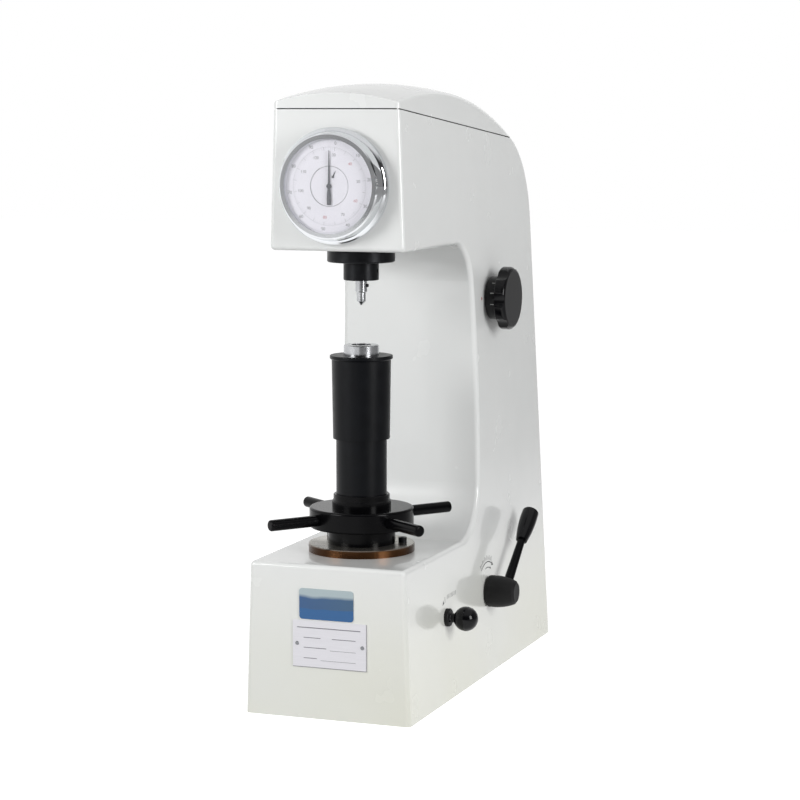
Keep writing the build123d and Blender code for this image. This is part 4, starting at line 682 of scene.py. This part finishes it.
def seam_outline():
    """Corners of the casting's outer edge just under the joint, in order, from above anticlockwise."""
    cut = bmesh.new()
    cut.from_mesh(solids["frame_casting"].data)
    bmesh.ops.remove_doubles(cut, verts=cut.verts, dist=1e-6)
    bmesh.ops.bisect_plane(cut, geom=cut.verts[:] + cut.edges[:] + cut.faces[:], dist=1e-7,
                           plane_co=SEAM_FRONT - SEAM_UP * SEAM_CUT, plane_no=SEAM_UP, clear_inner=True,
                           clear_outer=True)
    loops = []
    walked = set()
    for edge in cut.edges:
        if edge in walked:
            continue
        walked.add(edge)
        first, here = edge.verts
        loop = [first.co.copy(), here.co.copy()]
        while here != first:
            onward = [e for e in here.link_edges if e not in walked]
            if not onward:
                break
            walked.add(onward[0])
            here = onward[0].other_vert(here)
            loop.append(here.co.copy())
        loops.append(loop[:-1])
    cut.free()
    outline = max(loops, key=lambda loop: max(v.y for v in loop) - min(v.y for v in loop))
    turn = sum(a.x * b.y - b.x * a.y for a, b in zip(outline, outline[1:] + outline[:1]))
    return outline if turn > 0 else outline[::-1]


outline = seam_outline()
corners = [outline[0]]
for corner in outline[1:]:
    if (corner - corners[-1]).length > SHADE_BAND_STEP:
        corners.append(corner)
near, far = SEAM_DEPTH - 0.35 * MM, SEAM_DEPTH - 0.05 * MM
foot, crown = 0.02 * MM, SEAM_GROOVE - 0.05 * MM
verts = []
for i, corner in enumerate(corners):
    run = (corners[(i + 1) % len(corners)] - corners[i - 1]).normalized()
    inward = SEAM_UP.cross(run).normalized()
    on_joint = corner + SEAM_UP * SEAM_CUT
    for inset, rise in ((near, foot), (near, crown), (far, crown), (far, foot)):
        verts.append(on_joint + inward * inset + SEAM_UP * rise)
count = len(corners)
faces = [(4 * i + k, 4 * ((i + 1) % count) + k, 4 * ((i + 1) % count) + (k + 1) % 4, 4 * i + (k + 1) % 4)
         for i in range(count) for k in range(4)]
# painted shade: the dark band stands in the groove, where there is only shadow
mesh_piece("painted_seam_shade_band", flat_mesh("painted_seam_shade_band", verts, faces, seam_shade_black), "frame")

# ---- studio: pale floor, soft light, camera ----
FLOOR_REACH = 9.0
FLOOR_GLOW = 0.8
HORIZON_LIGHT = 0.46
ZENITH_LIGHT = 0.34
CARD_LEFT = 0.9
CARD_OVER = 0.8
DARK_STUDIO = 0.04
WHITE = (1, 1, 1, 1)

# the floor glows for the eye and in mirrors, less so in mirrors towards the right
floor_paint, tree, surface, place = finish_named("matt_white_paper", {
    "Roughness": 0.9, "Base Color": linear("#bcbcbc")})
path = add(tree, "ShaderNodeLightPath")
along = add(tree, "ShaderNodeSeparateXYZ", {"Vector": place}, "X")
shade = add(tree, "ShaderNodeMapRange", {"Value": along, "From Min": 0.25, "From Max": 0.7, "To Min": 1.0,
                                         "To Max": 0.1}, "Result")
mirrored = add(tree, "ShaderNodeMath", {0: path.outputs["Is Glossy Ray"], 1: shade}, 0, operation="MULTIPLY")
seen = add(tree, "ShaderNodeMath", {0: path.outputs["Is Camera Ray"], 1: mirrored}, 0, operation="MAXIMUM")
clear = add(tree, "ShaderNodeMath", {0: seen, 1: path.outputs["Is Transmission Ray"]}, 0, operation="MAXIMUM")
glow = add(tree, "ShaderNodeMath", {0: clear, 1: FLOOR_GLOW}, 0, operation="MULTIPLY")
lift = add(tree, "ShaderNodeEmission", {"Color": WHITE, "Strength": glow}, "Emission")
both = add(tree, "ShaderNodeAddShader", {0: surface.outputs["BSDF"], 1: lift}, 0)
feed(tree, tree.nodes["Material Output"], {"Surface": both})
edges = [(x * FLOOR_REACH, y * FLOOR_REACH, 0) for x, y in ((-1, -1), (1, -1), (1, 1), (-1, 1))]
floor = bpy.data.objects.new("floor", flat_mesh("floor", edges, [(0, 1, 2, 3)], floor_paint))
bpy.context.scene.collection.objects.link(floor)

# the studio: soft light for the object, white cards behind, left and over it in its mirrors
world = bpy.data.worlds.new("studio")
bpy.context.scene.world = world
world.use_nodes = True
tree = world.node_tree
path = add(tree, "ShaderNodeLightPath")
aim = add(tree, "ShaderNodeSeparateXYZ", {"Vector": add(tree, "ShaderNodeTexCoord", out="Object")})
dome = add(tree, "ShaderNodeMapRange", {"Value": aim.outputs["Z"], "To Min": HORIZON_LIGHT,
                                        "To Max": ZENITH_LIGHT}, "Result")
back = add(tree, "ShaderNodeMapRange", {"Value": aim.outputs["Y"], "From Min": 0.05, "From Max": 0.25},
           "Result")
shade = add(tree, "ShaderNodeMapRange", {"Value": aim.outputs["X"], "From Min": 0.15, "From Max": 0.35,
                                         "To Min": 1.0, "To Max": 0.25}, "Result")
behind = add(tree, "ShaderNodeMath", {0: back, 1: shade}, 0, operation="MULTIPLY")
left = add(tree, "ShaderNodeMapRange", {"Value": aim.outputs["X"], "From Min": -0.3, "From Max": -0.5,
                                        "To Max": CARD_LEFT}, "Result")
over = add(tree, "ShaderNodeMapRange", {"Value": aim.outputs["Z"], "From Min": 0.5, "From Max": 0.75,
                                        "To Min": DARK_STUDIO, "To Max": CARD_OVER}, "Result")
cards = add(tree, "ShaderNodeMath", {0: behind, 1: left}, 0, operation="MAXIMUM")
mirrored = add(tree, "ShaderNodeMath", {0: cards, 1: over}, 0, operation="MAXIMUM")
soft = add(tree, "ShaderNodeBackground", {"Color": WHITE, "Strength": dome}, 0)
card = add(tree, "ShaderNodeBackground", {"Color": WHITE, "Strength": mirrored}, 0)
plain = add(tree, "ShaderNodeBackground", {"Color": WHITE, "Strength": 1.0}, 0)
lit = add(tree, "ShaderNodeMixShader", {0: path.outputs["Is Glossy Ray"], 1: soft, 2: card}, 0)
clear = add(tree, "ShaderNodeMath", {0: path.outputs["Is Camera Ray"],
                                     1: path.outputs["Is Transmission Ray"]},
            0, operation="MAXIMUM")
shown = add(tree, "ShaderNodeMixShader", {0: clear, 1: lit, 2: plain}, 0)
feed(tree, tree.nodes["World Output"], {"Surface": shown})


def aimed(name, data, place, aim_at):
    """A lamp or a camera at a place, aimed at a point."""
    thing = bpy.data.objects.new(name, data)
    thing.location = place
    thing.rotation_euler = (Vector(aim_at) - Vector(place)).to_track_quat("-Z", "Y").to_euler()
    bpy.context.scene.collection.objects.link(thing)
    return thing


def soft_box(name, place, aim_at, size, power):
    """A lamp panel, wide and high as given, aimed at a point."""
    data = bpy.data.lights.new(name, "AREA")
    data.shape = "RECTANGLE"
    data.size, data.size_y = size
    data.energy = power
    aimed(name, data, place, aim_at)


soft_box("left_panel", (-1.05, -1.45, 0.9), (0, -0.2, 0.5), (0.7, 0.7), 16)
soft_box("right_panel", (2.2, -1.0, 0.9), (0, 0, 0.4), (0.7, 1.2), 33)

camera = aimed("camera", bpy.data.cameras.new("camera"), (0.8831, -2.3921, 0.6019),
               (0.00051, -0.0271, 0.29447))
camera.data.lens = 108.95
camera.data.sensor_width = 36
bpy.context.scene.camera = camera
bpy.context.scene.view_settings.view_transform = "Standard"
